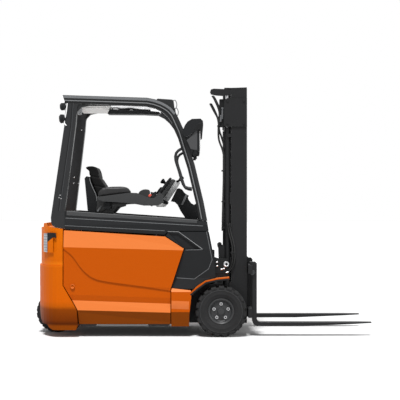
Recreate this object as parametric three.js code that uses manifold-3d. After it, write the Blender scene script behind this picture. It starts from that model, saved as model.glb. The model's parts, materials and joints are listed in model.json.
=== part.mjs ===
// Compact electric counterbalance forklift truck: two driven front wheels and one steered pair of
// twin rear wheels, a two-stage mast with tilt cylinders, and a battery behind a hinged side door.
// Millimetres. +X points forward, +Y to the driver's left, +Z up. Lengths along X are measured from
// the front axle, and the finished truck is moved so that its origin lies under the middle of its box.
import * as THREE from "three";
import { mergeVertices } from "three/addons/utils/BufferGeometryUtils.js";
import Module from "manifold-3d";

const wasm = await Module();
wasm.setup();

// ---------------------------------------------------------------- driving dimensions
const frontAxleFromOrigin = 171.5;
const halfWidth = 540;
const weldGap = 0.4;

const frontWheel = { radius: 228.5, width: 165, boreRadius: 118, segments: 28 };
const rearWheel = { radius: 190, width: 114, boreRadius: 99.5, segments: 24, x: -1505, innerFace: 30 };
const spindle = { radius: 45, clearance: 1 };

const guard = { footY: 512, lean: 0.0487, footZ: 950, depth: 70 };
const sideSkin = { inner: 470, thickness: 18 };

const outerMast = { rear: 95, front: 238, outerY: 330, lipY: 262, web: 14, flange: 16, foot: 107, top: 2229 };
const innerMast = { rear: 116, front: 216, outerY: 306, innerY: 206, webY: 256, web: 12, flange: 14 };
const innerMastEnds = { foot: 130, top: 2239 };
const liftCylinder = { x: 62, y: 288, radius: 30, boreRadius: 22, rodRadius: 18, foot: 318, top: 1880 };
const liftRod = { foot: 378, top: 2186 };
const mastPivot = { x: 60, z: 210, pinRadius: 16, y: 230 };
const tiltCylinder = { y: 170, rearX: -330, rearZ: 600, frontX: 62, frontZ: 640, radius: 32, rodRadius: 15 };
const tiltPins = { rear: 12, front: 9.5, eyeBore: 13.5 };

const carriage = { barRear: 244, barFront: 281, halfWidth: 470, plateTop: 701, plateFoot: 150 };
const fork = {
  y: 394, width: 100, thickness: 35, shank: 40, underside: 90, top: 665, tip: 1352, taper: 620,
};

const floorTop = 692;
const deckTop = 1060;
const steering = { x: -550, z: 1296, lean: 0.62, ringRadius: 150, gripRadius: 12 };

// ---------------------------------------------------------------- finishes
function finish(color, roughness, metalness) {
  return new THREE.MeshStandardMaterial({ color, roughness, metalness });
}
const finishes = {
  orange: finish(0xc85c19, 0.35, 0.1),
  castOrange: finish(0xd86a1a, 0.45, 0.1),
  charcoal: finish(0x2b2d2f, 0.65, 0),
  guardBlack: finish(0x33353a, 0.45, 0.2),
  mastBlack: finish(0x303032, 0.45, 0.4),
  frameBlack: finish(0x1e1f20, 0.6, 0.3),
  tyre: finish(0x2c2c2c, 0.9, 0),
  steel: finish(0xb9bbbd, 0.3, 0.9),
  rim: finish(0x3a3b3d, 0.5, 0.5),
  seat: finish(0x1b1b1c, 0.85, 0),
  grey: finish(0x8d9092, 0.5, 0.1),
  lamp: finish(0xc8c8c8, 0.2, 0.1),
  hose: finish(0x151515, 0.7, 0),
  battery: finish(0x50565c, 0.6, 0.2),
};

// ---------------------------------------------------------------- solids
function solidOf(geometry) {
  const bare = new THREE.BufferGeometry();
  const plain = geometry.index ? geometry.toNonIndexed() : geometry;
  bare.setAttribute("position", plain.getAttribute("position").clone());
  const merged = mergeVertices(bare, 1e-3);
  const vertProperties = merged.attributes.position.array;
  const triVerts = new Uint32Array(merged.index.array);
  const made = new wasm.Manifold(new wasm.Mesh({ numProp: 3, vertProperties, triVerts }));
  if (made.volume() > 0) return made;
  triVerts.reverse();
  return new wasm.Manifold(new wasm.Mesh({ numProp: 3, vertProperties, triVerts }));
}

function join(...solids) {
  return solids.reduce((whole, next) => whole.add(next));
}

function cut(solid, ...tools) {
  return tools.reduce((left, tool) => left.subtract(tool), solid);
}

function geometryOf(solid) {
  const mesh = solid.getMesh();
  const places = new Float32Array(mesh.numVert * 3);
  for (let i = 0; i < mesh.numVert; i++) {
    places.set(mesh.vertProperties.subarray(i * mesh.numProp, i * mesh.numProp + 3), i * 3);
  }
  const geometry = new THREE.BufferGeometry();
  geometry.setAttribute("position", new THREE.BufferAttribute(places, 3));
  geometry.setIndex(new THREE.BufferAttribute(mesh.triVerts, 1));
  geometry.computeVertexNormals();
  return geometry;
}

function moved(geometry, matrix) {
  return solidOf(geometry.applyMatrix4(matrix));
}

function outlineShape(points) {
  return new THREE.Shape(points.map(([a, b]) => new THREE.Vector2(a, b)));
}

function extruded(points, depth) {
  return new THREE.ExtrudeGeometry(outlineShape(points), { depth, bevelEnabled: false, curveSegments: 1 });
}

// A side-view outline of [x, z] points, as thick as the span from lowY to highY.
function panel(points, lowY, highY) {
  const turn = new THREE.Matrix4().makeRotationX(Math.PI / 2).setPosition(0, highY, 0);
  return moved(extruded(points, highY - lowY), turn);
}

// A top-view outline of [x, y] points between two heights.
function deck(points, lowZ, highZ) {
  return moved(extruded(points, highZ - lowZ), new THREE.Matrix4().makeTranslation(0, 0, lowZ));
}

function block(lowX, highX, lowY, highY, lowZ, highZ) {
  const geometry = new THREE.BoxGeometry(highX - lowX, highY - lowY, highZ - lowZ);
  geometry.translate((lowX + highX) / 2, (lowY + highY) / 2, (lowZ + highZ) / 2);
  return solidOf(geometry);
}

// A round bar from one point to another, tapered where the end radius differs.
function bar(start, end, radius, sides = 16, endRadius = radius) {
  const from = new THREE.Vector3(...start);
  const along = new THREE.Vector3(...end).sub(from);
  const geometry = new THREE.CylinderGeometry(endRadius, radius, along.length(), sides);
  geometry.translate(0, along.length() / 2, 0);
  const turn = new THREE.Quaternion().setFromUnitVectors(new THREE.Vector3(0, 1, 0), along.normalize());
  return moved(geometry, new THREE.Matrix4().makeRotationFromQuaternion(turn).setPosition(from));
}

// A solid of revolution about a line along Y. The profile is [radius, y] points, and its flats
// lie at the stated radii, so that it stands on one of them.
function turned(profile, segments, x, y, z) {
  const swell = 1 / Math.cos(Math.PI / segments);
  const points = profile.map(([radius, height]) => new THREE.Vector2(radius * swell, height));
  const geometry = new THREE.LatheGeometry(points, segments, Math.PI / segments);
  return solidOf(geometry.translate(x, y, z));
}

// A solid between matching rings of [x, y, z] points. Each end is closed by a fan of its own,
// found in the plane of the two coordinates named by flat.
function loft(rings, flat) {
  const count = rings[0].length;
  const places = rings.flat().flat();
  const faces = [];
  for (let r = 0; r + 1 < rings.length; r++) {
    for (let i = 0; i < count; i++) {
      const a = r * count + i;
      const b = r * count + ((i + 1) % count);
      faces.push(a, b, b + count, a, b + count, a + count);
    }
  }
  const contour = rings[0].map((p) => new THREE.Vector2(p[flat[0]], p[flat[1]]));
  const clockwise = THREE.ShapeUtils.isClockWise(contour);
  const last = (rings.length - 1) * count;
  for (const [a, b, c] of THREE.ShapeUtils.triangulateShape(contour, [])) {
    faces.push(...(clockwise ? [a, b, c] : [c, b, a]));
    faces.push(...(clockwise ? [last + c, last + b, last + a] : [last + a, last + b, last + c]));
  }
  const geometry = new THREE.BufferGeometry();
  geometry.setAttribute("position", new THREE.Float32BufferAttribute(places, 3));
  geometry.setIndex(faces);
  return solidOf(geometry);
}

function tube(points, radius, sides, steps) {
  const curve = new THREE.CatmullRomCurve3(points.map((p) => new THREE.Vector3(...p)), false, "centripetal");
  const ring = [];
  for (let i = 0; i < sides; i++) {
    const angle = (2 * Math.PI * i) / sides;
    ring.push([radius * Math.cos(angle), radius * Math.sin(angle)]);
  }
  const shape = outlineShape(ring);
  return solidOf(new THREE.ExtrudeGeometry(shape, { steps, extrudePath: curve, bevelEnabled: false }));
}

function mirrored(solid) {
  const mesh = solid.getMesh();
  const vertProperties = Float32Array.from(mesh.vertProperties, (v, i) => (i % 3 === 1 ? -v : v));
  const triVerts = Uint32Array.from(mesh.triVerts).reverse();
  return new wasm.Manifold(new wasm.Mesh({ numProp: 3, vertProperties, triVerts }));
}


// ---------------------------------------------------------------- the assembly
const truck = new THREE.Group();
truck.position.x = frontAxleFromOrigin;

function add(name, solid, material) {
  const mesh = new THREE.Mesh(geometryOf(solid), material);
  mesh.name = name;
  truck.add(mesh);
}

// Adds a right-hand piece and its mirror image on the left.
function addPair(name, rightSolid, material) {
  add(name + "_right", rightSolid, material);
  add(name + "_left", mirrored(rightSolid), material);
}

// ---------------------------------------------------------------- chassis and battery
const bay = { rear: -1240, front: -600, halfWidth: 455, floor: 110 };
const plate = 18;

// A floor that is as wide as the body, and narrow between the front wheels.
function floorPlan(rearX) {
  return [
    [rearX, -bay.halfWidth], [-300, -bay.halfWidth], [-300, -330], [-105, -330],
    [-105, 330], [-300, 330], [-300, bay.halfWidth], [rearX, bay.halfWidth],
  ];
}

function chassisFrame() {
  const underside = deck(floorPlan(bay.rear), bay.floor, bay.floor + plate);
  const rearWall = block(bay.rear, bay.rear + plate, -bay.halfWidth, bay.halfWidth, bay.floor, 930);
  const midWall = block(bay.front, bay.front + plate, -bay.halfWidth, bay.halfWidth, bay.floor, floorTop);
  const frontWall = block(-125, -105, -330, 330, bay.floor, floorTop);
  const cylinderRoom = block(-130, -100, -tiltCylinder.y - 45, -tiltCylinder.y + 45, 550, floorTop - 12);
  const floorPlate = deck(floorPlan(bay.front), floorTop - 12, floorTop);
  const bearer = block(bay.front, -105, 305, 330, bay.floor, 240);
  const wellWall = block(-330, -105, 318, 330, bay.floor, floorTop - 2);
  const stepTread = block(bay.front, -312, 330, 520, 440, 455);
  const stepRiser = block(bay.front, -312, 330, 342, bay.floor, floorTop);
  const stepFront = block(-324, -312, 330, 520, 440, floorTop - 60);
  const tiltFoot = tiltLug(tiltCylinder.rearX, tiltCylinder.rearZ, bay.front + plate - 2, tiltPins.rear);
  const whole = join(
    underside, rearWall, midWall, frontWall, floorPlate, bearer, mirrored(bearer), wellWall, mirrored(wellWall),
    stepTread, stepRiser, stepFront, tiltFoot, mirrored(tiltFoot),
  );
  return cut(whole, cylinderRoom, mirrored(cylinderRoom));
}

// Two cheeks and a pin that hold one eye of a tilt cylinder.
function tiltLug(x, z, farX, pinRadius) {
  const cheek = { inner: 19, outer: 29, reach: 24 };
  const low = Math.min(x - cheek.reach, farX);
  const high = Math.max(x + cheek.reach, farX);
  const near = block(low, high, cheek.inner, cheek.outer, z - cheek.reach, z + cheek.reach);
  const pin = bar([x, -cheek.outer, z], [x, cheek.outer, z], pinRadius);
  const lug = join(near, mirrored(near), pin);
  return lug.translate([0, -tiltCylinder.y, 0]);
}

function batteryBlock() {
  return block(-1212, -622, -415, 415, bay.floor + plate + weldGap, 790);
}

function seatDeck() {
  const profile = [
    [-1338, deckTop - 22], [-604, deckTop - 22], [-604, floorTop + 2], [-582, floorTop + 2],
    [-582, deckTop - 20], [-602, deckTop], [-1338, deckTop],
  ];
  return panel(profile, -468, 468);
}

// ---------------------------------------------------------------- counterweight
const weight = { front: -1250, rear: -1667, shoulder: -1420, ledgeZ: 634, roundness: 2.2 };
const well = { radius: 262, top: 430, shaftRadius: 62, shaftTop: 480 };
const tailLamp = { x: -1566, y: 468, reach: 46, low: 762, high: 918 };

// Half of the plan is a straight flank and then a rounded corner that runs to the middle.
function weightPlan(inset) {
  const steps = 22;
  const across = halfWidth - inset;
  const back = weight.shoulder - weight.rear - inset;
  const points = [[weight.front, -across], [weight.shoulder, -across]];
  for (let i = 1; i < steps; i++) {
    const angle = (Math.PI * i) / steps - Math.PI / 2;
    const y = across * Math.sign(Math.sin(angle)) * Math.abs(Math.sin(angle)) ** (2 / weight.roundness);
    const x = weight.shoulder - back * Math.cos(angle) ** (2 / weight.roundness);
    points.push([x, y]);
  }
  points.push([weight.shoulder, across], [weight.front, across]);
  return points;
}

function tailLampRoom(slack) {
  const reach = tailLamp.reach + slack;
  const room = deck(
    [[-reach, -reach], [reach, -reach], [reach, reach], [-reach, reach]],
    tailLamp.low - slack,
    tailLamp.high + slack,
  );
  return room.rotate([0, 0, 40]).translate([tailLamp.x, -tailLamp.y - 20, 0]);
}

function counterweight() {
  const side = [
    [weight.front, 115], [-1272, 115], [-1292, 65], [-1500, 65], [-1532, 84], [-1556, 112], [-1606, 114], [-1628, 150],
    [-1654, 265], [-1669, 380], [-1700, 380], [-1700, 970], [-1600, 974], [-1597, 1012], [-1563, 1015], [-1552, 985], [-1401, 961], [weight.front, 961],
  ];
  const body = join(
    deck(weightPlan(0), 40, weight.ledgeZ),
    deck(weightPlan(14), weight.ledgeZ, 1040),
  ).intersect(panel(side, -halfWidth, halfWidth));
  const flankRoom = panel(
    [[-1408, 1100], [-1408, 458], [-1283, 243], [-1270, 40], [-1200, 40], [-1200, 1100]],
    -halfWidth - 10,
    -bay.halfWidth,
  );
  const wheelWell = bar([rearWheel.x, 0, 0], [rearWheel.x, 0, well.top], well.radius, 32);
  const shaftHole = bar([rearWheel.x, 0, 0], [rearWheel.x, 0, well.shaftTop], well.shaftRadius, 20);
  const handRecess = block(-1700, -1640, -210, 210, 878, 929);
  return cut(
    body, flankRoom, mirrored(flankRoom), wheelWell, shaftHole, handRecess,
    tailLampRoom(1), mirrored(tailLampRoom(1)),
  );
}

function tailLampBody() {
  return tailLampRoom(0).intersect(deck(weightPlan(8), tailLamp.low, tailLamp.high));
}

// ---------------------------------------------------------------- side panels
// The outer face of the orange flank as [distance from the middle, height], front and rear of the
// door: a sloping shoulder, a near-upright face, a waist that faces down, a ledge and a sill.
function flankSection(drop, sink) {
  return [
    [sideSkin.inner, 1000], [499 - sink, 1000], [538 - sink, 803 - drop], [540 - sink, 470 - drop],
    [524 - sink, 333 - drop * 1.3], [540 - sink, 247 - drop], [496 - sink, 100], [sideSkin.inner, 90],
  ];
}

function flank(sink) {
  const rings = [[-1460, 0], [-200, 34]].map(([x, drop]) =>
    flankSection(drop, sink).map(([y, z]) => [x, -y, z]),
  );
  return loft(rings, [1, 2]);
}

const doorOutline = [
  [-1395, 950], [-499, 894], [-333, 787], [-449, 430], [-451, 115], [-1263, 115], [-1276, 247],
  [-1401, 461], [-1401, 944],
];
const doorHollow = [
  [-1370, 922], [-508, 868], [-366, 778], [-475, 430], [-477, 143], [-1237, 143], [-1250, 258],
  [-1373, 470],
];
// The pressed waist: below a long curve that falls from the rear corner to the front edge.
const waistCurve = [[-1391, 781], [-1319, 720], [-1237, 608], [-1136, 527], [-983, 491], [-678, 451]];

function waistCut() {
  const above = new THREE.SplineCurve(waistCurve.map(([x, z]) => new THREE.Vector2(x, z))).getPoints(14);
  const outline = [...above.map((p) => [p.x, p.y]), [-430, 410], [-400, 404], [-400, 290], [-1420, 333],
    [-1420, 790]];
  return panel(outline, -600, -530);
}

function batteryDoor() {
  const skin = flank(0).intersect(panel(doorOutline, -600, -sideSkin.inner));
  const hollow = flank(sideSkin.thickness).intersect(panel(doorHollow, -600, -sideSkin.inner + 5));
  return cut(skin, hollow, waistCut());
}

function sidePanelLeft() {
  const outline = [
    [-1395, 950], [-640, 903], [-612, 880], [-612, 436], [-449, 430], [-451, 115], [-1263, 115],
    [-1276, 247], [-1401, 461], [-1401, 944],
  ];
  const hollowOutline = [
    [-1370, 922], [-650, 877], [-638, 868], [-638, 410], [-475, 404], [-477, 143], [-1237, 143],
    [-1250, 258], [-1373, 470],
  ];
  const skin = flank(0).intersect(panel(outline, -600, -sideSkin.inner));
  const hollow = flank(sideSkin.thickness).intersect(panel(hollowOutline, -600, -sideSkin.inner + 5));
  return mirrored(cut(skin, hollow, waistCut()));
}

function fender() {
  const section = [
    [462, 441], [520, 441], [540, 404], [540, 225], [500, 94], [462, 94],
  ];
  const rings = [-443, -240].map((x) => section.map(([y, z]) => [x, -y, z]));
  const outline = [[-443, 436], [-270, 416], [-265, 365], [-283, 201], [-286, 94], [-443, 94]];
  const shell = loft(rings, [1, 2]).intersect(panel(outline, -600, -300));
  const mudguard = panel(
    [[-290, 372], [-262, 372], [-200, 430], [-130, 479], [-30, 503], [71, 513], [71, 535],
      [-34, 525], [-141, 502], [-214, 454], [-275, 395]],
    -halfWidth,
    -384,
  );
  return join(shell, mudguard);
}

function cowlRight() {
  const outline = [
    [-494, 899], [-466, 937], [-108, 937], [-64, 713], [-48, 529], [-141, 507], [-214, 459],
    [-262, 413], [-268, 421], [-441, 441], [-325, 787],
  ];
  const section = [[474, 940], [509, 940], [520, 780], [505, 527], [522, 430], [474, 430]];
  const rings = [-520, -20].map((x) => section.map(([y, z]) => [x, -y, z]));
  const recess = panel([[-468, 925], [-384, 921], [-180, 781], [-316, 772]], -600, -499);
  const liner = panel([[-577, 439], [-250, 439], [-250, 985], [-577, 985]], -466, -460);
  const rib = block(-470, -400, -478, -460, 925, 937);
  return join(cut(loft(rings, [1, 2]).intersect(panel(outline, -600, -400)), recess), liner, rib);
}

function cowlLeft() {
  const outline = [[-205, 1024], [-124, 1024], [-64, 713], [-48, 529], [-141, 507], [-214, 459], [-262, 413],
    [-268, 421], [-300, 425], [-290, 700]];
  const section = [[474, 1030], [506, 1030], [520, 780], [505, 527], [522, 430], [474, 430]];
  const rings = [-520, -20].map((x) => section.map(([y, z]) => [x, y, z]));
  return loft(rings, [1, 2]).intersect(panel(outline, 400, 600));
}

// The dark belt line: the sills of both side windows and the panel behind the seat.
function beltPanel() {
  const wall = 34;
  const inner = 478;
  const beltRear = -1389.5;
  const plan = [
    [beltRear, -halfWidth], [-100, -halfWidth], [-100, -inner], [beltRear + wall, -inner],
    [beltRear + wall, inner], [-645, inner], [-645, halfWidth], [beltRear, halfWidth],
  ];
  const side = [
    [-1390, 1122], [-195, 1034], [-124, 1028], [-110, 945], [-474, 945], [-502, 911], [-1390, 967],
  ];
  const section = [[inner - 40, 900], [512, 900], [514, 1000], [503, 1070], [499, 1140], [inner - 40, 1140]];
  const rings = [-1500, -50].map((x) => section.map(([y, z]) => [x, -y, z]));
  const rightFlank = loft(rings, [1, 2]);
  const middle = block(-1500, -50, -440, 440, 900, 1140);
  const body = join(rightFlank, mirrored(rightFlank), middle).intersect(deck(plan, 900, 1200));
  return body.intersect(panel(side, -halfWidth, halfWidth));
}

// ---------------------------------------------------------------- overhead guard
// One welded side of the guard: rear pillar, roof rail and front pillar. It leans in as it rises.
const guardOutline = [
  [-1470, 976], [-1500, 990], [-1512, 1015], [-1516, 1062], [-1401, 1883], [-1382, 2080], [-1430, 2088], [-1432, 2160], [-661, 2135],
  [-590, 2121], [-528, 2099], [-484, 2075], [-445, 2048], [-403, 2000], [-370, 1930], [-332, 1845],
  [-236, 1540], [-156, 1205], [-123, 1034], [-192, 1039], [-228, 1205], [-308, 1540], [-404, 1845],
  [-440, 1912], [-480, 1965], [-530, 2010], [-590, 2040], [-675, 2060], [-1262, 2083], [-1285, 2060],
  [-1300, 1883], [-1392, 1127], [-1391, 966],
];

function leanIn(solid) {
  const mesh = solid.getMesh();
  const vertProperties = Float32Array.from(mesh.vertProperties);
  for (let i = 0; i < vertProperties.length; i += 3) {
    vertProperties[i + 1] += guard.lean * (vertProperties[i + 2] - guard.footZ);
  }
  return new wasm.Manifold(new wasm.Mesh({ numProp: 3, vertProperties, triVerts: mesh.triVerts }));
}

function guardSide() {
  const frame = leanIn(panel(guardOutline, -guard.footY, -guard.footY + guard.depth));
  const handle = tube(
    [[-352, -478, 1680], [-395, -478, 1650], [-408, -478, 1600], [-375, -478, 1480],
      [-342, -478, 1370], [-322, -478, 1335], [-262, -478, 1322]],
    13,
    8,
    14,
  );
  return join(frame, leanIn(handle));
}

function guardInnerY(z) {
  return guard.footY - guard.depth - guard.lean * (z - guard.footZ);
}

function roofGrille() {
  const reach = Math.floor(guardInnerY(2125)) - 1;
  const rear = block(-1425, -1340, -reach, reach, 2088, 2122);
  const front = block(-690, -612, -reach, reach, 2066, 2116);
  const stringer = block(-1380, -650, 128, 140, 2092, 2104);
  const bars = [-1252, -1164, -1076, -988, -900, -812].map((x) => block(x, x + 22, -reach, reach, 2076, 2112));
  return join(rear, front, stringer, mirrored(stringer), ...bars);
}

function rearLamps() {
  const bracket = block(-1412, -1402.5, -470, -436, 1890, 2078);
  const upper = bar([-1446, -452, 2054], [-1408, -452, 2054], 30, 20);
  const lower = bar([-1446, -452, 1946], [-1408, -452, 1946], 40, 20);
  return join(bracket, upper, lower);
}

function frontLamp() {
  const hood = panel(
    [[-345, 1830], [-322, 1884], [-298, 1917], [-260, 1940], [-184, 1943], [-162, 1923], [-159, 1888],
      [-165, 1821], [-179, 1810], [-190, 1850], [-222, 1836], [-264, 1807], [-317, 1778], [-334, 1790]],
    -532,
    -478,
  );
  const body = panel(
    [[-264, 1795], [-222, 1850], [-193, 1845], [-190, 1660], [-202, 1649], [-274, 1669], [-293, 1716], [-312, 1750]],
    -518,
    -484,
  );
  const knob = bar([-238, -501, 1610], [-238, -501, 1670], 14, 10);
  const arm = bar([-328, -500, 1815], [-328, -471.4, 1815], 10, 8);
  return join(hood, body, knob, arm);
}

// ---------------------------------------------------------------- operator's place
function dashboard() {
  const profile = [
    [-130, floorTop + 2], [-128, 1000], [-150, 1022], [-230, 1040], [-318, 1012], [-330, 985], [-285, floorTop + 2],
  ];
  return panel(profile, -458, 458);
}

function pedals() {
  const pivotBar = bar([-310, -200, 800], [-310, 60, 800], 8, 10);
  const brake = join(block(-392, -380, -60, 30, 716, 780), block(-384, -306, -20, -8, 770, 806));
  const go = join(block(-400, -388, -190, -120, 704, 790), block(-392, -306, -160, -148, 776, 806));
  return join(pivotBar, brake, go);
}

// The cover right under the steering wheel, in the plane across the steering axis.
function steeringCover() {
  const behindWheel = [[165, 24], [172, 53], [175, 95], [-80, 106], [-133, 57], [-120, 24]];
  const outline = behindWheel.map(([along, behind]) => [
    steering.x + Math.sin(steering.lean) * along + Math.cos(steering.lean) * behind,
    steering.z + Math.cos(steering.lean) * along - Math.sin(steering.lean) * behind,
  ]);
  const stalk = bar([-404, -60, 1392], [-354, -120, 1424], 9, 10, 7);
  return join(panel(outline, -78, 78), stalk);
}

function steeringColumn() {
  const halfColumn = 62;
  const outline = [
    [-458, 1208], [-421, 1201], [-395, 1176], [-367, 1119], [-320, 1049], [-300, 1000], [-200, 1000],
    [-207, 1047], [-228, 1169], [-267, 1190], [-292, 1223], [-310, 1272], [-332, 1290], [-353, 1319],
    [-381, 1331], [-402, 1324],
  ];
  const dashRoom = panel(
    [[-129, 600], [-127, 1001], [-150, 1023], [-230, 1041], [-319, 1013], [-331, 985], [-300, 600]],
    -200,
    200,
  );
  return cut(panel(outline, -halfColumn, halfColumn), dashRoom);
}

function steeringWheel() {
  const ring = solidOf(new THREE.TorusGeometry(steering.ringRadius, steering.gripRadius, 6, 24));
  const hub = bar([0, 0, -18], [0, 0, 30], 34, 20, 28);
  const spokes = [90, 210, 330].map((degrees) => {
    const angle = THREE.MathUtils.degToRad(degrees);
    return bar([0, 0, -4], [steering.ringRadius * Math.cos(angle), steering.ringRadius * Math.sin(angle), 0], 9, 8);
  });
  const knob = join(
    bar([90, 120, 0], [90, 120, 34], 8, 10),
    bar([90, 120, 30], [90, 120, 60], 11, 14, 22),
  );
  const tilt = THREE.MathUtils.radToDeg(steering.lean) - 90;
  return join(ring, hub, ...spokes, knob).rotate([0, tilt, 0]).translate([steering.x, 0, steering.z]);
}

const armrestY = { outer: -352, inner: -252 };

function seatBase() {
  const rails = block(-1205, -985, -200, 200, deckTop + weldGap, 1100);
  const pan = panel(
    [[-1118, 1098], [-985, 1098], [-940, 1150], [-890, 1163], [-885, 1181], [-1118, 1171]],
    -205,
    205,
  );
  const carrier = block(-1060, -1000, armrestY.outer + 20, -160, 1140, 1168);
  const post = block(-1060, -1000, armrestY.outer + 20, -242, 1140, 1198);
  return join(rails, pan, carrier, post);
}

function seatCushion() {
  const profile = [
    [-1097, 1176], [-880, 1186], [-750, 1196], [-727, 1208], [-725, 1228], [-745, 1250], [-830, 1254],
    [-1097, 1238],
  ];
  return panel(profile, -236, 236);
}

function seatBack() {
  const profile = [
    [-1122, 1250], [-1005, 1258], [-998, 1300], [-1016, 1335], [-1071, 1404], [-1081, 1433], [-1095, 1488],
    [-1120, 1520], [-1165, 1533], [-1222, 1515], [-1208, 1474], [-1194, 1423], [-1177, 1374], [-1140, 1294],
  ];
  return panel(profile, -228, 228);
}

function seatShell() {
  const profile = [
    [-1244, 1419], [-1226, 1439], [-1206, 1430], [-1196, 1384], [-1172, 1325], [-1142, 1255], [-1136, 1210],
    [-1134, 1140], [-1150, 1100 + weldGap], [-1204, 1100 + weldGap], [-1216, 1126],
  ];
  return panel(profile, -215, 215);
}

function armrest() {
  const profile = [
    [-1113, 1228], [-1109, 1250], [-830, 1286], [-760, 1284], [-686, 1256], [-626, 1236], [-600, 1240],
    [-576, 1262], [-556, 1290], [-520, 1262], [-520, 1200], [-548, 1182], [-587, 1169], [-695, 1169],
    [-760, 1181], [-848, 1193], [-1069, 1208],
  ];
  return panel(profile, armrestY.outer, armrestY.inner);
}

function armrestPad() {
  const profile = [
    [-1107, 1253], [-1104, 1290], [-1079, 1323], [-1000, 1333], [-882, 1335], [-853, 1324], [-828, 1289],
  ];
  return panel(profile, armrestY.outer + 8, armrestY.inner - 8);
}

// The palm rest and the small levers in front of it.
function controlLevers() {
  return panel(
    [[-747, 1282], [-722, 1306], [-686, 1316], [-645, 1310], [-640, 1284], [-652, 1262], [-630, 1250],
      [-632, 1290], [-606, 1298], [-594, 1290], [-600, 1248], [-626, 1241], [-686, 1259]],
    armrestY.outer + 16,
    armrestY.inner - 16,
  );
}

// ---------------------------------------------------------------- wheels and axles
function tyre(wheel, x, y, z) {
  const half = wheel.width / 2;
  const profile = [
    [wheel.boreRadius, -half * 0.8], [wheel.radius * 0.6, -half], [wheel.radius * 0.92, -half],
    [wheel.radius, -half * 0.8], [wheel.radius, half * 0.8], [wheel.radius * 0.92, half],
    [wheel.radius * 0.6, half], [wheel.boreRadius, half * 0.8], [wheel.boreRadius, -half * 0.8],
  ];
  return turned(profile, wheel.segments, x, y, z);
}

// Distances along the axle are measured outwards from the middle of the right-hand tyre.
function frontRim() {
  const edge = frontWheel.boreRadius - 1;
  const bore = spindle.radius + spindle.clearance;
  const profile = [
    [0, 74], [34, 70], [37, 50], [88, 44], [99, 64], [edge, 66], [edge, -66], [106, -66], [100, 20],
    [62, 20], [62, -24], [bore, -24], [bore, 30], [0, 30],
  ].map(([radius, out]) => [radius, -out]);
  const y = -halfWidth + frontWheel.width / 2;
  return turned(profile, frontWheel.segments, 0, y, frontWheel.radius);
}

function driveAxle() {
  const beam = block(-98, 6, -330, 330, 150, 300);
  const hub = bar([0, -330, frontWheel.radius], [0, -366, frontWheel.radius], 80, 20);
  const stub = bar([0, -340, frontWheel.radius], [0, -halfWidth + 56, frontWheel.radius], spindle.radius, 20);
  const cheek = block(0, 40 + mastPivot.x - 24, 0, 9, mastPivot.z - 22, mastPivot.z + 22);
  const pin = bar([mastPivot.x, -32, mastPivot.z], [mastPivot.x, 32, mastPivot.z], mastPivot.pinRadius, 16);
  const hanger = join(cheek.translate([0, -32, 0]), cheek.translate([0, 23, 0]), pin);
  const right = join(hub, stub, hanger.translate([0, -mastPivot.y, 0]));
  return join(beam, right, mirrored(right));
}

function steerYoke() {
  const leg = { halfWidth: 19, halfLength: 40, low: 150 };
  const { x, radius } = rearWheel;
  const top = bar([x, 0, 392], [x, 0, 416], 118, 28);
  const shaft = bar([x, 0, 410], [x, 0, 470], well.shaftRadius - 3, 20);
  const post = block(x - leg.halfLength, x + leg.halfLength, -leg.halfWidth, leg.halfWidth, leg.low, 396);
  const bore = bar([x, -30, radius], [x, 30, radius], 22, 24);
  return cut(join(top, shaft, post), bore);
}

function rearHub() {
  const half = [
    [20, 0], [20, 58], [84, 58], [84, 38], [98, 36], [98, 136], [84, 134], [84, 84], [36, 80], [34, 118], [0, 120],
  ];
  const below = half.slice(1).reverse().map(([radius, out]) => [radius, -out]);
  return turned([...below, ...half], rearWheel.segments, rearWheel.x, 0, rearWheel.radius);
}

// ---------------------------------------------------------------- mast
function outerRail() {
  const { rear, front, outerY, lipY, web, flange, foot, top } = outerMast;
  const section = [
    [rear, -outerY], [front, -outerY], [front, -lipY], [front - flange, -lipY],
    [front - flange, -outerY + web], [rear + flange, -outerY + web], [rear + flange, -lipY], [rear, -lipY],
  ];
  return deck(section, foot, top);
}

function outerMastFrame() {
  const rail = outerRail();
  const { rear, outerY } = outerMast;
  const crossHead = block(rear - 35, rear + 3, -outerY, outerY, 2104, 2138);
  const hookPlate = panel(
    [[44, 1884], [30, 1898], [30, 2120], [60, 2143], [238, 2143], [238, 1884]],
    -outerY - 12,
    -outerY + 4,
  );
  const middle = block(rear - 12, rear + 3, -outerY, outerY, 1180, 1290);
  const lower = block(rear - 20, rear + 3, -outerY, outerY, 330, 470);
  const foot = block(rear - 20, rear + 3, -outerY, outerY, outerMast.foot, 165);
  const seatPlate = block(32, rear + 4, -outerY + 8, -outerMast.lipY + 4, liftCylinder.foot - 14, liftCylinder.foot);
  const clampHigh = block(60, rear + 4, -outerY + 2, -outerMast.lipY, 1790, 1820);
  const swivel = pivotLug();
  const tiltEnd = tiltLug(tiltCylinder.frontX, tiltCylinder.frontZ, rear + 2, tiltPins.front);
  const tiltBeam = block(rear - 8, rear + 3, -outerY, outerY, 580, 700);
  const hoseHook = panel(
    [[-97, 2196], [-88, 2222], [-60, 2229], [rear + 4, 2222], [rear + 4, 2176], [20, 2162], [-40, 2166], [-88, 2176]],
    -outerY,
    -outerY + 13,
  );
  const right = join(rail, hookPlate, seatPlate, clampHigh, swivel, tiltEnd);
  const barrelRoom = bar(
    [liftCylinder.x, -liftCylinder.y, liftCylinder.foot],
    [liftCylinder.x, -liftCylinder.y, 2300],
    liftCylinder.radius + 1,
    20,
  );
  const whole = join(right, mirrored(right), hoseHook, crossHead, middle, lower, foot, tiltBeam);
  return cut(whole, barrelRoom, mirrored(barrelRoom));
}

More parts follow.
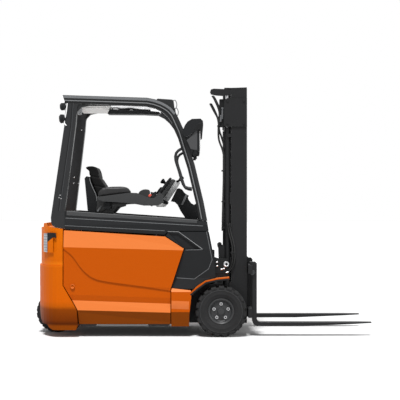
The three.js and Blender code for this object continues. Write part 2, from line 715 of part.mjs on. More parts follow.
function pivotLug() {
  const { x, z, y, pinRadius } = mastPivot;
  const ear = block(x - 26, outerMast.rear - 4, -y - 20, -y + 20, z - 34, z + 30);
  const link = block(outerMast.rear - 20, outerMast.rear + 3, -y - 18, -y + 18, 150, 400);
  const bore = bar([x, -y - 40, z], [x, -y + 40, z], pinRadius + 1.5, 16);
  return cut(join(ear, link), bore);
}

function liftBarrel() {
  const { x, y, radius, boreRadius, foot, top } = liftCylinder;
  const barrel = bar([x, -y, foot + weldGap], [x, -y, top], radius, 20);
  const gland = bar([x, -y, top - 46], [x, -y, top], radius + 0.6, 20);
  const bore = bar([x, -y, foot + 12], [x, -y, top + 10], boreRadius, 20);
  return cut(join(barrel, gland), bore);
}

function liftRodBody() {
  const { x, y, rodRadius } = liftCylinder;
  return bar([x, -y, liftRod.foot], [x, -y, liftRod.top], rodRadius, 16);
}

const chain = { y: 100, width: 24, thickness: 14, pulleyRadius: 42, pulleyX: 158, pulleyZ: 2144 };

function innerMastFrame() {
  const { rear, front, outerY, innerY, webY, web, flange } = innerMast;
  const { foot, top } = innerMastEnds;
  const section = [
    [rear, -outerY], [rear + flange, -outerY], [rear + flange, -webY - web / 2],
    [front - flange, -webY - web / 2], [front - flange, -outerY], [front, -outerY], [front, -innerY],
    [front - flange, -innerY], [front - flange, -webY + web / 2], [rear + flange, -webY + web / 2],
    [rear + flange, -innerY], [rear, -innerY],
  ];
  const rail = deck(section, foot, top);
  const head = block(rear - 14, front, -innerY - 4, innerY + 4, 2196, top);
  const ear = join(
    block(34, rear - 26, -outerY, -innerY - 20, liftRod.top + weldGap, top),
    block(rear - 30, rear + 4, -webY, -innerY - 20, liftRod.top + weldGap, top),
  );
  const crosses = [[foot, 190], [1200, 1280]].map(([low, high]) =>
    block(rear - 12, rear + 5, -innerY - 6, innerY + 6, low, high),
  );
  const sheave = bar(
    [chain.pulleyX, -chain.y - 12, chain.pulleyZ],
    [chain.pulleyX, -chain.y + 12, chain.pulleyZ],
    chain.pulleyRadius - 8,
    20,
  );
  const hanger = block(chain.pulleyX - 14, chain.pulleyX + 14, -chain.y - 22, -chain.y - 11, 2128, 2200);
  const right = join(rail, ear, sheave, hanger);
  return join(right, mirrored(right), head, ...crosses);
}

function chainRun() {
  const x = chain.pulleyX + chain.pulleyRadius - 7;
  return block(x, x + chain.thickness, -chain.y - 11, -chain.y + 11, 606, chain.pulleyZ);
}

function carriageFrame() {
  const { barRear, barFront, plateTop, plateFoot } = carriage;
  const upper = block(barRear, barFront, -carriage.halfWidth, carriage.halfWidth, 562, 640);
  const lower = block(barRear, barFront, -carriage.halfWidth, carriage.halfWidth, 166, 246);
  const plateBody = panel(
    [[132, plateFoot], [barRear + 8, plateFoot], [barFront - 2, 200], [barFront - 2, plateTop - 30],
      [barRear + 6, plateTop], [132, plateTop]],
    -200,
    -184,
  );
  const rollers = [214, 640].map((z) => bar([166, -190, z], [166, -246, z], 34, 20));
  const anchor = block(chain.pulleyX + 30, barRear + 8, -chain.y - 16, -chain.y + 16, 580, 604);
  const right = join(plateBody, ...rollers, anchor);
  return join(upper, lower, right, mirrored(right));
}

function forkArm() {
  const { underside, thickness, shank, top, tip, taper } = fork;
  const back = carriage.barFront + weldGap;
  const face = back + shank;
  const blade = [
    [back, underside + 44], [back + 12, underside + 14], [back + 40, underside], [tip - taper, underside],
    [tip, underside + thickness - 9], [tip, underside + thickness], [face + 34, underside + thickness],
    [face + 9, underside + thickness + 9], [face, underside + thickness + 34], [face, top - 12],
    [face - 12, top], [back - 20, top], [back - 20, top - 22], [back, top - 22],
  ];
  const plan = [
    [200, -fork.y - fork.width / 2], [tip - 150, -fork.y - fork.width / 2], [tip, -fork.y - 26],
    [tip, -fork.y + 26], [tip - 150, -fork.y + fork.width / 2], [200, -fork.y + fork.width / 2],
  ];
  return panel(blade, -fork.y - 60, -fork.y + 60).intersect(deck(plan, 0, 800));
}

// ---------------------------------------------------------------- tilt cylinders and hoses
const tiltLine = new THREE.Vector3(
  tiltCylinder.frontX - tiltCylinder.rearX, 0, tiltCylinder.frontZ - tiltCylinder.rearZ,
);

function alongTilt(distance) {
  const at = tiltLine.clone().setLength(distance);
  return [tiltCylinder.rearX + at.x, -tiltCylinder.y, tiltCylinder.rearZ + at.z];
}

function eye(x, z) {
  const { y } = tiltCylinder;
  const outer = bar([x, -y - 12, z], [x, -y + 12, z], 22, 16);
  const bore = bar([x, -y - 20, z], [x, -y + 20, z], tiltPins.eyeBore, 16);
  return { outer, bore };
}

function tiltBarrel() {
  const { outer, bore } = eye(tiltCylinder.rearX, tiltCylinder.rearZ);
  const body = bar(alongTilt(16), alongTilt(300), tiltCylinder.radius, 20);
  const rodHole = bar(alongTilt(60), alongTilt(320), tiltCylinder.rodRadius + 2, 16);
  const waist = block(tiltCylinder.rearX - 40, tiltCylinder.rearX + 40, -300, 0, 500, 700);
  const neck = bar(alongTilt(10), alongTilt(60), 11.5, 12);
  return cut(join(outer, neck, cut(body, waist)), bore, rodHole);
}

function tiltRod() {
  const { outer, bore } = eye(tiltCylinder.frontX, tiltCylinder.frontZ);
  const length = tiltLine.length();
  const rod = bar(alongTilt(130), alongTilt(length - 6), tiltCylinder.rodRadius, 16);
  return cut(join(outer, rod), bore);
}

function sideHoses() {
  const y = -outerMast.outerY - 14;
  const runs = [0, 22].map((shift) =>
    tube(
      [[150 - shift, y, 1010], [152 - shift, y, 930], [166 - shift, y - 12, 800], [162 - shift, y - 12, 690],
        [130 - shift, y, 610], [104 - shift, y, 585]],
      8,
      8,
      12,
    ),
  );
  const topClamp = block(120, 160, y - 8, y + 13.5, 985, 1005);
  const endBlock = block(70, 110, y - 14, y + 13.5, 560, 610);
  return join(...runs, topClamp, endBlock);
}

function backHoses() {
  const runs = [-306, -284].map((y) =>
    tube(
      [[-66, y, 2170], [-48, y, 2090], [-22, y, 1990], [-16, y, 1800], [8, y, 1700], [12, y, 1500], [12, y, 1200], [12, y, 940]],
      8,
      8,
      18,
    ),
  );
  const topTie = block(-76, -50, -outerMast.outerY + 13 + weldGap, -284, 2150, 2162);
  const ties = [1500, 950].map((z) => block(4, 20, -306, -284, z, z + 14));
  return join(...runs, topTie, ...ties);
}

// ---------------------------------------------------------------- every piece by name
add("chassis_frame", chassisFrame(), finishes.frameBlack);
add("battery", batteryBlock(), finishes.battery);
add("seat_deck", seatDeck(), finishes.charcoal);
add("counterweight", counterweight(), finishes.castOrange);
addPair("tail_lamp", tailLampBody(), finishes.lamp);
add("battery_door", batteryDoor(), finishes.orange);
add("side_panel_left", sidePanelLeft(), finishes.orange);
addPair("fender", fender(), finishes.orange);
add("cowl_right", cowlRight(), finishes.charcoal);
add("cowl_left", cowlLeft(), finishes.charcoal);
add("belt_panel", beltPanel(), finishes.charcoal);
addPair("guard_side", guardSide(), finishes.guardBlack);
add("roof_grille", roofGrille(), finishes.guardBlack);
addPair("rear_lamps", rearLamps(), finishes.grey);
addPair("front_lamp", frontLamp(), finishes.guardBlack);
add("dashboard", dashboard(), finishes.charcoal);
add("pedals", pedals(), finishes.frameBlack);
add("steering_cover", steeringCover(), finishes.grey);
add("steering_column", steeringColumn(), finishes.charcoal);
add("steering_wheel", steeringWheel(), finishes.frameBlack);
add("seat_base", seatBase(), finishes.frameBlack);
add("seat_cushion", seatCushion(), finishes.seat);
add("seat_back", seatBack(), finishes.seat);
add("seat_shell", seatShell(), finishes.charcoal);
add("armrest", armrest(), finishes.grey);
add("armrest_pad", armrestPad(), finishes.seat);
add("control_levers", controlLevers(), finishes.frameBlack);
add("drive_axle", driveAxle(), finishes.frameBlack);
const frontTyreY = -halfWidth + frontWheel.width / 2;
addPair("front_tyre", tyre(frontWheel, 0, frontTyreY, frontWheel.radius), finishes.tyre);
addPair("front_rim", frontRim(), finishes.rim);
add("steer_yoke", steerYoke(), finishes.frameBlack);
const rearTyreY = -rearWheel.innerFace - rearWheel.width / 2;
addPair("rear_tyre", tyre(rearWheel, rearWheel.x, rearTyreY, rearWheel.radius), finishes.tyre);
add("rear_hub", rearHub(), finishes.rim);
add("outer_mast", outerMastFrame(), finishes.mastBlack);
addPair("lift_barrel", liftBarrel(), finishes.mastBlack);
add("side_hoses", sideHoses(), finishes.hose);
add("back_hoses", backHoses(), finishes.hose);
add("inner_mast", innerMastFrame(), finishes.mastBlack);
addPair("lift_rod", liftRodBody(), finishes.steel);
addPair("lift_chain", chainRun(), finishes.steel);
add("carriage", carriageFrame(), finishes.mastBlack);
addPair("fork", forkArm(), finishes.mastBlack);
addPair("tilt_barrel", tiltBarrel(), finishes.mastBlack);
addPair("tilt_rod", tiltRod(), finishes.steel);

export default truck;
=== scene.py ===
# The looks of a compact electric counterbalance forklift truck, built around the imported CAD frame.
# Everything is in metres in the frame's own axes: +X forward, +Y to the driver's left, +Z up.
# Lengths named in millimetres along X are measured from the front axle, as on a works drawing.
import json
import math

import bmesh
import bpy
from mathutils import Matrix, Vector


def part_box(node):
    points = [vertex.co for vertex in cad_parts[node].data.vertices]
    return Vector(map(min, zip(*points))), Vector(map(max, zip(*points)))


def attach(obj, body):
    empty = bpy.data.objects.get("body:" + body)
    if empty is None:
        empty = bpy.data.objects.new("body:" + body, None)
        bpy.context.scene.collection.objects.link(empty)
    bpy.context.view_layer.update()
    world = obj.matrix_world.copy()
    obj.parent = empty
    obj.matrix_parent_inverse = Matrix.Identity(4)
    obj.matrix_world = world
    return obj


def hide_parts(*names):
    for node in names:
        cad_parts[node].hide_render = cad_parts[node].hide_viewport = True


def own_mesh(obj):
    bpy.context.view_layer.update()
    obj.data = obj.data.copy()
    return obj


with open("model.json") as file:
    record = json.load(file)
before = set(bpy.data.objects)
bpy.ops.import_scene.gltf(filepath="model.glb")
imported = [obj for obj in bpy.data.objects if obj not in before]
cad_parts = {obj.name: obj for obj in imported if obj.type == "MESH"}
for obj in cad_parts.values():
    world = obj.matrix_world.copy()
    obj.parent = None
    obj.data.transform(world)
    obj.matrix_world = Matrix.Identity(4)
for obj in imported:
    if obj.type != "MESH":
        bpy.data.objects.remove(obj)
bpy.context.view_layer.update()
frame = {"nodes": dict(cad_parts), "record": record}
nodes = frame["nodes"]

MM = 0.001
AXLE_X = 171.5
HALF_WIDTH = 540
TWO_PI = 2 * math.pi
SIDES = ((-1, "right"), (1, "left"))
SHARP_ANGLE = 32

# The counterweight's rounded corner: where it starts, how deep it is and how square.
WEIGHT_CORNER_X = -1420
WEIGHT_CORNER_DEPTH = 247
WEIGHT_CORNER_POWER = 2.2


def at(x, y, z):
    """A point given in millimetres from the front axle, the truck's middle and the floor."""
    return Vector(((x + AXLE_X) * MM, y * MM, z * MM))


def new_object(name, data):
    """Puts a new object into the scene."""
    thing = bpy.data.objects.new(name, data)
    bpy.context.scene.collection.objects.link(thing)
    return thing


def set_inputs(node, values):
    for socket, value in values.items():
        node.inputs[socket].default_value = value


def new_node(tree, kind, values=None):
    """Adds a shader node, with the inputs that are given by name."""
    node = tree.nodes.new("ShaderNode" + kind)
    set_inputs(node, values or {})
    return node


# ---------------------------------------------------------------- camera, light and floor
def add_camera():
    """A long lens square to the truck's right side."""
    data = bpy.data.cameras.new("camera")
    data.sensor_width = 36.0
    data.lens = 103.3
    data.shift_x = 0.01
    data.shift_y = 0.0075
    data.clip_end = 200
    camera = new_object("camera", data)
    camera.location = (-0.052, -10.724, 1.193)
    camera.rotation_euler = (math.radians(90), 0, 0)
    bpy.context.scene.camera = camera


def add_sun(name, place, strength, spread):
    """A far lamp that shines from place towards the middle of the truck."""
    data = bpy.data.lights.new(name, "SUN")
    data.energy = strength
    data.angle = math.radians(spread)
    lamp = new_object(name, data)
    lamp.location = place
    lamp.rotation_euler = (-Vector(place)).to_track_quat("-Z", "Y").to_euler()


def add_world():
    """White to the camera and in reflections, and a soft fill for everything else."""
    world = bpy.data.worlds.new("studio")
    bpy.context.scene.world = world
    world.use_nodes = True
    tree = world.node_tree
    tree.nodes.clear()
    output = new_node(tree, "OutputWorld")
    fill = new_node(tree, "Background", {"Color": (1, 1, 1, 1), "Strength": 0.32})
    seen = new_node(tree, "Background", {"Color": (1, 1, 1, 1), "Strength": 1.0})
    path = new_node(tree, "LightPath")
    camera_or_gloss = new_node(tree, "Math")
    camera_or_gloss.operation = "MAXIMUM"
    any_of = new_node(tree, "Math")
    any_of.operation = "MAXIMUM"
    mix = new_node(tree, "MixShader")
    link = tree.links.new
    link(path.outputs["Is Camera Ray"], camera_or_gloss.inputs[0])
    link(path.outputs["Is Glossy Ray"], camera_or_gloss.inputs[1])
    link(camera_or_gloss.outputs[0], any_of.inputs[0])
    link(path.outputs["Is Transmission Ray"], any_of.inputs[1])
    link(any_of.outputs[0], mix.inputs["Fac"])
    link(fill.outputs[0], mix.inputs[1])
    link(seen.outputs[0], mix.inputs[2])
    link(mix.outputs[0], output.inputs["Surface"])


def add_floor():
    """A white floor that looks a little brighter to the camera than it is."""
    mesh = bpy.data.meshes.new("floor")
    reach = 60.0
    corners = [(-reach, -reach, 0), (reach, -reach, 0), (reach, reach, 0), (-reach, reach, 0)]
    mesh.from_pydata(corners, [], [(0, 1, 2, 3)])
    paint = bpy.data.materials.new("floor_white")
    paint.use_nodes = True
    tree = paint.node_tree
    tree.nodes.clear()
    output = new_node(tree, "OutputMaterial")
    matt = new_node(tree, "BsdfDiffuse", {"Color": (0.72, 0.72, 0.72, 1)})
    lift = new_node(tree, "Emission", {"Strength": 0.015})
    none = new_node(tree, "Emission", {"Strength": 0.0})
    path = new_node(tree, "LightPath")
    seen = new_node(tree, "MixShader")
    total = new_node(tree, "AddShader")
    link = tree.links.new
    link(path.outputs["Is Camera Ray"], seen.inputs["Fac"])
    link(none.outputs[0], seen.inputs[1])
    link(lift.outputs[0], seen.inputs[2])
    link(matt.outputs[0], total.inputs[0])
    link(seen.outputs[0], total.inputs[1])
    link(total.outputs[0], output.inputs["Surface"])
    mesh.materials.append(paint)
    floor = new_object("floor", mesh)


add_camera()
add_world()
add_floor()
add_sun("key_light", (-0.6, -3.7, 8.0), 3.85, 10)
add_sun("front_light", (6.0, -2.5, 3.0), 0.6, 30)
add_sun("back_light", (-2.0, 5.0, 6.0), 0.5, 30)
bpy.context.scene.view_settings.view_transform = "Standard"


# ---------------------------------------------------------------- materials
# Where a colour's darker and lighter drift end, and how far the roughness drifts either way.
MOTTLE_STOPS = (0.3, 0.7)
ROUGH_SPREAD = 0.08


def set_stops(stops, tones):
    """Spreads the tones, each given as [level, colour] and rising in level, over a colour ramp."""
    lowest, highest = tones[0], tones[-1]
    for stop, place, tone in ((stops[0], 0, lowest), (stops[1], 1, highest)):
        stop.position = place
        stop.color = [*tone[1], 1]
    for level, color in tones[1:-1]:
        middle = stops.new((level - lowest[0]) / (highest[0] - lowest[0]))
        middle.color = [*color, 1]


def make_material(name, color, roughness, metallic=0.0, coat=0.0, mottle=0.06, mottle_scale=6.0, grain=0.15,
                  grain_scale=900.0, specular=0.5, painted_glow=0.0, slope_painted_light=None, height_painted_light=None):
    """A painted, moulded or bare surface: its colour drifts a little, and so does its roughness,
    and a fine grain roughens it. The grain's scale is in cells to the metre. Slope tones paint light and
    shade into the colour by how far the surface faces up, height tones paint them by how high it stands,
    and a painted glow makes a part that is no lamp give off light."""
    paint = bpy.data.materials.new(name)
    paint.use_nodes = True
    tree = paint.node_tree
    shader = tree.nodes["Principled BSDF"]
    set_inputs(shader, {
        "Metallic": metallic, "Coat Weight": coat, "Coat Roughness": 0.08, "Specular IOR Level": specular,
    })
    # A painted glow: the surface gives off light though it is no lamp.
    if painted_glow:
        set_inputs(shader, {"Emission Color": [*color, 1], "Emission Strength": painted_glow})
    place = new_node(tree, "TexCoord").outputs["Object"]
    link = tree.links.new

    drift = new_node(tree, "TexNoise", {"Scale": mottle_scale, "Detail": 4})
    link(place, drift.inputs["Vector"])
    ramp = new_node(tree, "ValToRGB")
    stops = ramp.color_ramp.elements
    # The ramp's colours carry painted light and shade, read by how far the bumped surface faces up or by
    # height.
    tones = slope_painted_light or height_painted_light
    if tones:
        wave = new_node(tree, "Bump", {"Strength": 0.25, "Distance": 0.002})
        link(drift.outputs["Fac"], wave.inputs["Height"])
        axes = new_node(tree, "SeparateXYZ")
        link(wave.outputs["Normal"] if slope_painted_light else place, axes.inputs["Vector"])
        reach = new_node(tree, "MapRange", {"From Min": tones[0][0], "From Max": tones[-1][0]})
        link(axes.outputs["Z"], reach.inputs["Value"])
        set_stops(stops, tones)
        link(reach.outputs["Result"], ramp.inputs["Fac"])
    else:
        stops[0].position, stops[1].position = MOTTLE_STOPS
        stops[0].color = [c * (1 - mottle) for c in color] + [1]
        stops[1].color = [min(1, c * (1 + mottle)) for c in color] + [1]
        link(drift.outputs["Fac"], ramp.inputs["Fac"])
    link(ramp.outputs["Color"], shader.inputs["Base Color"])

    smudge = new_node(tree, "TexNoise", {"Scale": mottle_scale * 5, "Detail": 6})
    link(place, smudge.inputs["Vector"])
    spread = new_node(tree, "MapRange", {
        "To Min": max(0.02, roughness - ROUGH_SPREAD), "To Max": min(1, roughness + ROUGH_SPREAD),
    })
    link(smudge.outputs["Fac"], spread.inputs["Value"])
    link(spread.outputs["Result"], shader.inputs["Roughness"])

    fine = new_node(tree, "TexNoise", {"Scale": grain_scale, "Detail": 2})
    link(place, fine.inputs["Vector"])
    bump = new_node(tree, "Bump", {"Strength": grain, "Distance": 0.0006})
    link(fine.outputs["Fac"], bump.inputs["Height"])
    link(bump.outputs["Normal"], shader.inputs["Normal"])
    return paint


# Colours of the orange paint: [how far the surface faces up, colour]. Upright faces keep the paint's own
# orange;
# faces turned up are lighter with a painted highlight and sheen, and faces turned down are darker with
# painted shade.
# For the casting: [height, colour], also with painted light and shade.
orange_with_painted_light = [
    (-0.5, (0.17, 0.036, 0.0004)), (-0.27, (0.21, 0.044, 0.0004)), (-0.13, (0.43, 0.070, 0.0004)),
    (-0.03, (0.455, 0.074, 0.0004)), (0.04, (0.46, 0.076, 0.001)), (0.17, (0.64, 0.165, 0.036)),
    (0.30, (0.68, 0.195, 0.05)), (0.6, (0.70, 0.20, 0.055)),
]
# The casting's colour by height: darker below about 0.25 m, where it turns in under itself, and darkest in a
# band near 0.12 m, for painted shade; a lighter band at the ledge near 0.65 m, for a painted highlight.
cast_with_painted_light = [
    (0.0, (0.22, 0.045, 0.0004)), (0.1, (0.20, 0.040, 0.0004)), (0.118, (0.07, 0.012, 0.0004)),
    (0.15, (0.14, 0.025, 0.0004)), (0.245, (0.21, 0.040, 0.0004)), (0.275, (0.44, 0.085, 0.0006)),
    (0.32, (0.55, 0.100, 0.0006)), (0.62, (0.55, 0.105, 0.0006)), (0.65, (0.68, 0.165, 0.004)),
    (0.68, (0.57, 0.112, 0.0006)), (1.1, (0.66, 0.145, 0.001)),
]

look_facts = {
    "orange_paint": dict(
        color=(0.43, 0.072, 0.001), roughness=0.36, grain=0.04, specular=0.06, slope_painted_light=orange_with_painted_light),
    "cast_paint": dict(
        color=(0.60, 0.125, 0.002), roughness=0.45, grain=0.3, grain_scale=240, specular=0.05,
        height_painted_light=cast_with_painted_light),
    # A lighter orange: a painted highlight along the fender's ledge, where it faces up.
    "ledge_painted_highlight": dict(
        color=(0.58, 0.135, 0.022), roughness=0.4, coat=0.03, mottle=0.03, grain=0.04, specular=0.25),
    "dark_plastic": dict(
        color=(0.0105, 0.0112, 0.0122), roughness=0.55, grain=0.5, grain_scale=1400, specular=0.16),
    "guard_paint": dict(color=(0.014, 0.0147, 0.0158), roughness=0.38, grain=0.15, specular=0.28),
    "mast_paint": dict(
        color=(0.0115, 0.0117, 0.0124), roughness=0.45, grain=0.25, grain_scale=500, specular=0.2),
    "frame_paint": dict(color=(0.010, 0.0105, 0.011), roughness=0.6, grain=0.2, specular=0.2),
    "tyre_rubber": dict(
        color=(0.017, 0.017, 0.0175), roughness=0.8, mottle=0.2, grain=0.4, grain_scale=700, specular=0.2),
    "pale_rubber": dict(
        color=(0.048, 0.049, 0.050), roughness=0.7, mottle=0.25, mottle_scale=20, grain=0.3,
        grain_scale=700, specular=0.2),
    "hose_rubber": dict(color=(0.010, 0.010, 0.010), roughness=0.5, grain=0.3, specular=0.35),
    "bright_steel": dict(color=(0.55, 0.55, 0.56), roughness=0.28, metallic=1.0, grain=0.1),
    "rim_paint": dict(color=(0.026, 0.0268, 0.028), roughness=0.42, grain=0.2, specular=0.35),
    "seat_fabric": dict(
        color=(0.0105, 0.0105, 0.0108), roughness=0.9, mottle=0.25, mottle_scale=60, grain=0.9,
        grain_scale=420, specular=0.2),
    "grey_plastic": dict(
        color=(0.033, 0.034, 0.035), roughness=0.45, grain=0.4, grain_scale=1300, specular=0.3),
    "lamp_plastic": dict(color=(0.62, 0.62, 0.62), roughness=0.2, coat=0.5, grain=0.05),
    "battery_steel": dict(color=(0.08, 0.09, 0.1), roughness=0.5, grain=0.2),
    "pale_plastic": dict(color=(0.34, 0.35, 0.36), roughness=0.4, grain=0.3, specular=0.4),
    "red_plastic": dict(color=(0.55, 0.05, 0.02), roughness=0.4, coat=0.3, grain=0.1),
    "satin_leather": dict(
        color=(0.012, 0.012, 0.0125), roughness=0.5, mottle=0.15, mottle_scale=30, grain=0.6,
        grain_scale=260, specular=0.35),
    "back_leather": dict(
        color=(0.0045, 0.0045, 0.0046), roughness=0.65, mottle=0.15, mottle_scale=30, grain=0.5,
        grain_scale=260, specular=0.12),
    # Copies of the guard's black in other greys, one line each: a lighter grey for painted highlights along
    # faces, beads, edges and creases and on hose ends; a mid grey for a painted highlight along the rear
    # pillar's bead, also the fork latches' lighter grey; a pale grey for the painted highlight along the
    # guard's bead, also the colour of thin loops, a handle and piping; the darkest for painted shade in
    # grooves, gaps, recesses and under edges.
    "guard_painted_highlight": dict(color=(0.135, 0.14, 0.146), roughness=0.4, grain=0.15, specular=0.3),
    "guard_mid": dict(color=(0.032, 0.0335, 0.036), roughness=0.4, grain=0.15, specular=0.3),
    "pale_grey_and_painted_highlight": dict(color=(0.17, 0.175, 0.18), roughness=0.35, grain=0.1, specular=0.4),
    "guard_painted_shade": dict(color=(0.006, 0.0063, 0.0068), roughness=0.55, grain=0.15, specular=0.2),
    # The next three give off a little light though they are no lamps: painted light.
    "liner_painted_glow": dict(color=(0.55, 0.55, 0.54), roughness=0.5, mottle=0.05, grain=0.2, painted_glow=0.14),
    "clear_roof_painted_glow": dict(color=(0.85, 0.86, 0.87), roughness=0.3, mottle=0.02, grain=0.05, painted_glow=0.55),
    "white_plastic_painted_glow": dict(color=(0.8, 0.8, 0.8), roughness=0.4, mottle=0.03, grain=0.2, painted_glow=0.15),
    "lamp_grey": dict(
        color=(0.055, 0.056, 0.058), roughness=0.5, grain=0.4, grain_scale=1300, specular=0.25),
    "cover_dark": dict(
        color=(0.068, 0.071, 0.072), roughness=0.45, grain=0.4, grain_scale=1300, specular=0.3),
    # The lower steering cover's pale grey, with a painted highlight: it turns nearly white from 1.20 m up to
    # 1.38 m.
    "pale_cover_painted_highlight": dict(
        color=(0.17, 0.178, 0.18), roughness=0.4, grain=0.3, specular=0.4,
        height_painted_light=[(1.20, (0.20, 0.208, 0.21)), (1.30, (0.42, 0.43, 0.432)),
        (1.38, (0.88, 0.89, 0.89))]),
    # The sill's top in a lighter grey: a painted highlight where its bevelled top faces up.
    "sill_top_painted_highlight": dict(
        color=(0.045, 0.0465, 0.048), roughness=0.5, grain=0.4, grain_scale=1300, specular=0.25),
    # A pale grey line: a painted highlight along the cowl's edge.
    "edge_painted_highlight": dict(color=(0.26, 0.265, 0.27), roughness=0.4, grain=0.1, specular=0.4),
    "lens_silver": dict(
        color=(0.30, 0.32, 0.35), roughness=0.25, mottle=0.3, mottle_scale=14, coat=0.4, grain=0.05),
    "chain_steel": dict(color=(0.10, 0.10, 0.105), roughness=0.4, metallic=0.7, grain=0.2),
    "clamp_grey": dict(color=(0.16, 0.165, 0.17), roughness=0.35, grain=0.2, specular=0.4),
    "gloss_black": dict(color=(0.010, 0.0105, 0.011), roughness=0.35, coat=0.12, grain=0.1, specular=0.35),
}
looks = {name: make_material(name, **facts) for name, facts in look_facts.items()}

node_looks = {s["node"]: s["material_slot"] for s in frame["record"]["subparts"]}

# Bevel width in millimetres of the frame nodes that show as they are.
bevels = {
    "counterweight": 12, "battery_door": 4, "side_panel_left": 4, "fender_right": 5, "fender_left": 5,
    "cowl_right": 4, "cowl_left": 4, "belt_panel": 6, "guard_side_right": 9, "guard_side_left": 9,
    "roof_grille": 3, "dashboard": 12, "seat_deck": 6, "outer_mast": 1.5, "inner_mast": 1.5, "carriage": 2.5,
    "fork_right": 3, "fork_left": 3, "chassis_frame": 2, "battery": 4, "armrest": 14, "steering_column": 8,
    "drive_axle": 3, "seat_base": 4, "front_lamp_right": 8, "front_lamp_left": 8, "steer_yoke": 3,
    "pedals": 2,
}


def dress(piece, look, bevel, segments, sharp=SHARP_ANGLE):
    """Gives a piece its look, smooth shading between sharp edges, and bevels if it has any."""
    piece.data.materials.clear()
    piece.data.materials.append(looks[look])
    piece.data.shade_smooth()
    piece.data.set_sharp_from_angle(angle=math.radians(sharp))
    if bevel:
        edges = piece.modifiers.new("edges", "BEVEL")
        edges.width = bevel * MM
        edges.segments = segments
        edges.limit_method = "ANGLE"
        edges.angle_limit = math.radians(sharp)
        edges.harden_normals = True


for node_name, node in nodes.items():
    dress(node, node_looks[node_name], bevels.get(node_name), 3)


# ---------------------------------------------------------------- mesh helpers
def mesh_object(name, shape):
    """Turns a bmesh into an object, with its faces turned outwards."""
    bmesh.ops.recalc_face_normals(shape, faces=shape.faces)
    mesh = bpy.data.meshes.new(name)
    shape.to_mesh(mesh)
    shape.free()
    return new_object(name, mesh)


def finish_piece(name, shape, slot, body="truck", replaced=(), bevel=0.0, sharp=SHARP_ANGLE, look=None):
    """Turns a bmesh into a piece that rides on a body, with its look and its edges."""
    piece = mesh_object(name, shape)
    dress(piece, look or slot, bevel, 2, sharp)
    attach(piece, body)
    if replaced:
        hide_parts(*replaced)
    return piece


def add_ring(shape, points):
    """Vertices at the given points."""
    return [shape.verts.new(p) for p in points]


def bridge(shape, ring_a, ring_b):
    """A band of faces between two closed rings of vertices."""
    count = len(ring_a)
    for i in range(count):
        j = (i + 1) % count
        shape.faces.new((ring_a[i], ring_a[j], ring_b[j], ring_b[i]))


def add_loft(shape, rings):
    """A closed skin over a run of rings, with its two ends filled."""
    for ring_a, ring_b in zip(rings, rings[1:]):
        bridge(shape, ring_a, ring_b)
    shape.faces.new(rings[0])
    shape.faces.new(rings[-1])


def add_turned(shape, profile, centre, axis=(0, 1, 0), segments=64, closed=False):
    """A solid of revolution. The profile is [radius, distance along the axis] in metres."""
    turn = Vector((0, 0, 1)).rotation_difference(Vector(axis)).to_matrix()
    rings = []
    for radius, along in profile:
        if radius < 1e-6:
            rings.append([shape.verts.new(Vector(centre) + turn @ Vector((0, 0, along)))])
            continue
        points = []
        for i in range(segments):
            angle = TWO_PI * i / segments
            flat = Vector((radius * math.cos(angle), radius * math.sin(angle), along))
            points.append(Vector(centre) + turn @ flat)
        rings.append(add_ring(shape, points))
    pairs = list(zip(rings, rings[1:]))
    if closed:
        pairs.append((rings[-1], rings[0]))
    for ring_a, ring_b in pairs:
        if len(ring_a) == 1 or len(ring_b) == 1:
            tip, rim = (ring_a[0], ring_b) if len(ring_a) == 1 else (ring_b[0], ring_a)
            for i in range(segments):
                shape.faces.new((tip, rim[i], rim[(i + 1) % segments]))
        else:
            bridge(shape, ring_a, ring_b)


def add_rod(shape, start, end, radius, sides=20, end_radius=None):
    """A round or many-sided bar between two places, which may narrow towards its end."""
    start, end = Vector(start), Vector(end)
    along = end - start
    turn = Vector((0, 0, 1)).rotation_difference(along.normalized()).to_matrix().to_4x4()
    matrix = Matrix.Translation((start + end) / 2) @ turn
    top = radius if end_radius is None else end_radius
    bmesh.ops.create_cone(
        shape, cap_ends=True, segments=sides, radius1=radius, radius2=top, depth=along.length, matrix=matrix,
    )


def add_bolt(shape, place, axis, across=0.018, height=0.007, washer=0.013):
    """A hexagon head on a washer, standing on place along axis."""
    place, axis = Vector(place), Vector(axis).normalized()
    add_rod(shape, place - axis * 0.002, place + axis * 0.0025, washer, 20)
    add_rod(shape, place + axis * 0.002, place + axis * (0.0025 + height), across / 2, 6)


def smooth_path(points, steps):
    """Points on a Catmull-Rom curve through the given ones."""
    places = [Vector(p) for p in points]
    places = [places[0] * 2 - places[1]] + places + [places[-1] * 2 - places[-2]]
    spans = len(places) - 3
    path = []
    for i in range(steps + 1):
        t = i / steps * spans
        k = min(int(t), spans - 1)
        f = t - k
        a, b, c, d = places[k:k + 4]
        path.append(0.5 * ((2 * b) + (c - a) * f + (2 * a - 5 * b + 4 * c - d) * f * f
                           + (3 * b - a - 3 * c + d) * f * f * f))
    return path


def add_tube(shape, points, radius, sides=14, steps=60):
    """A bent round bar whose middle line passes smoothly through the points."""
    path = smooth_path(points, steps)
    up = Vector((0, 1, 0))
    rings = []
    for i, place in enumerate(path):
        ahead = path[min(i + 1, steps)] - path[max(i - 1, 0)]
        ahead.normalize()
        side = up.cross(ahead)
        if side.length < 1e-4:
            side = Vector((1, 0, 0)).cross(ahead)
        side.normalize()
        up = ahead.cross(side).normalized()
        rings.append(add_ring(shape, [
            place + radius * (math.cos(TWO_PI * k / sides) * side + math.sin(TWO_PI * k / sides) * up)
            for k in range(sides)
        ]))
    add_loft(shape, rings)


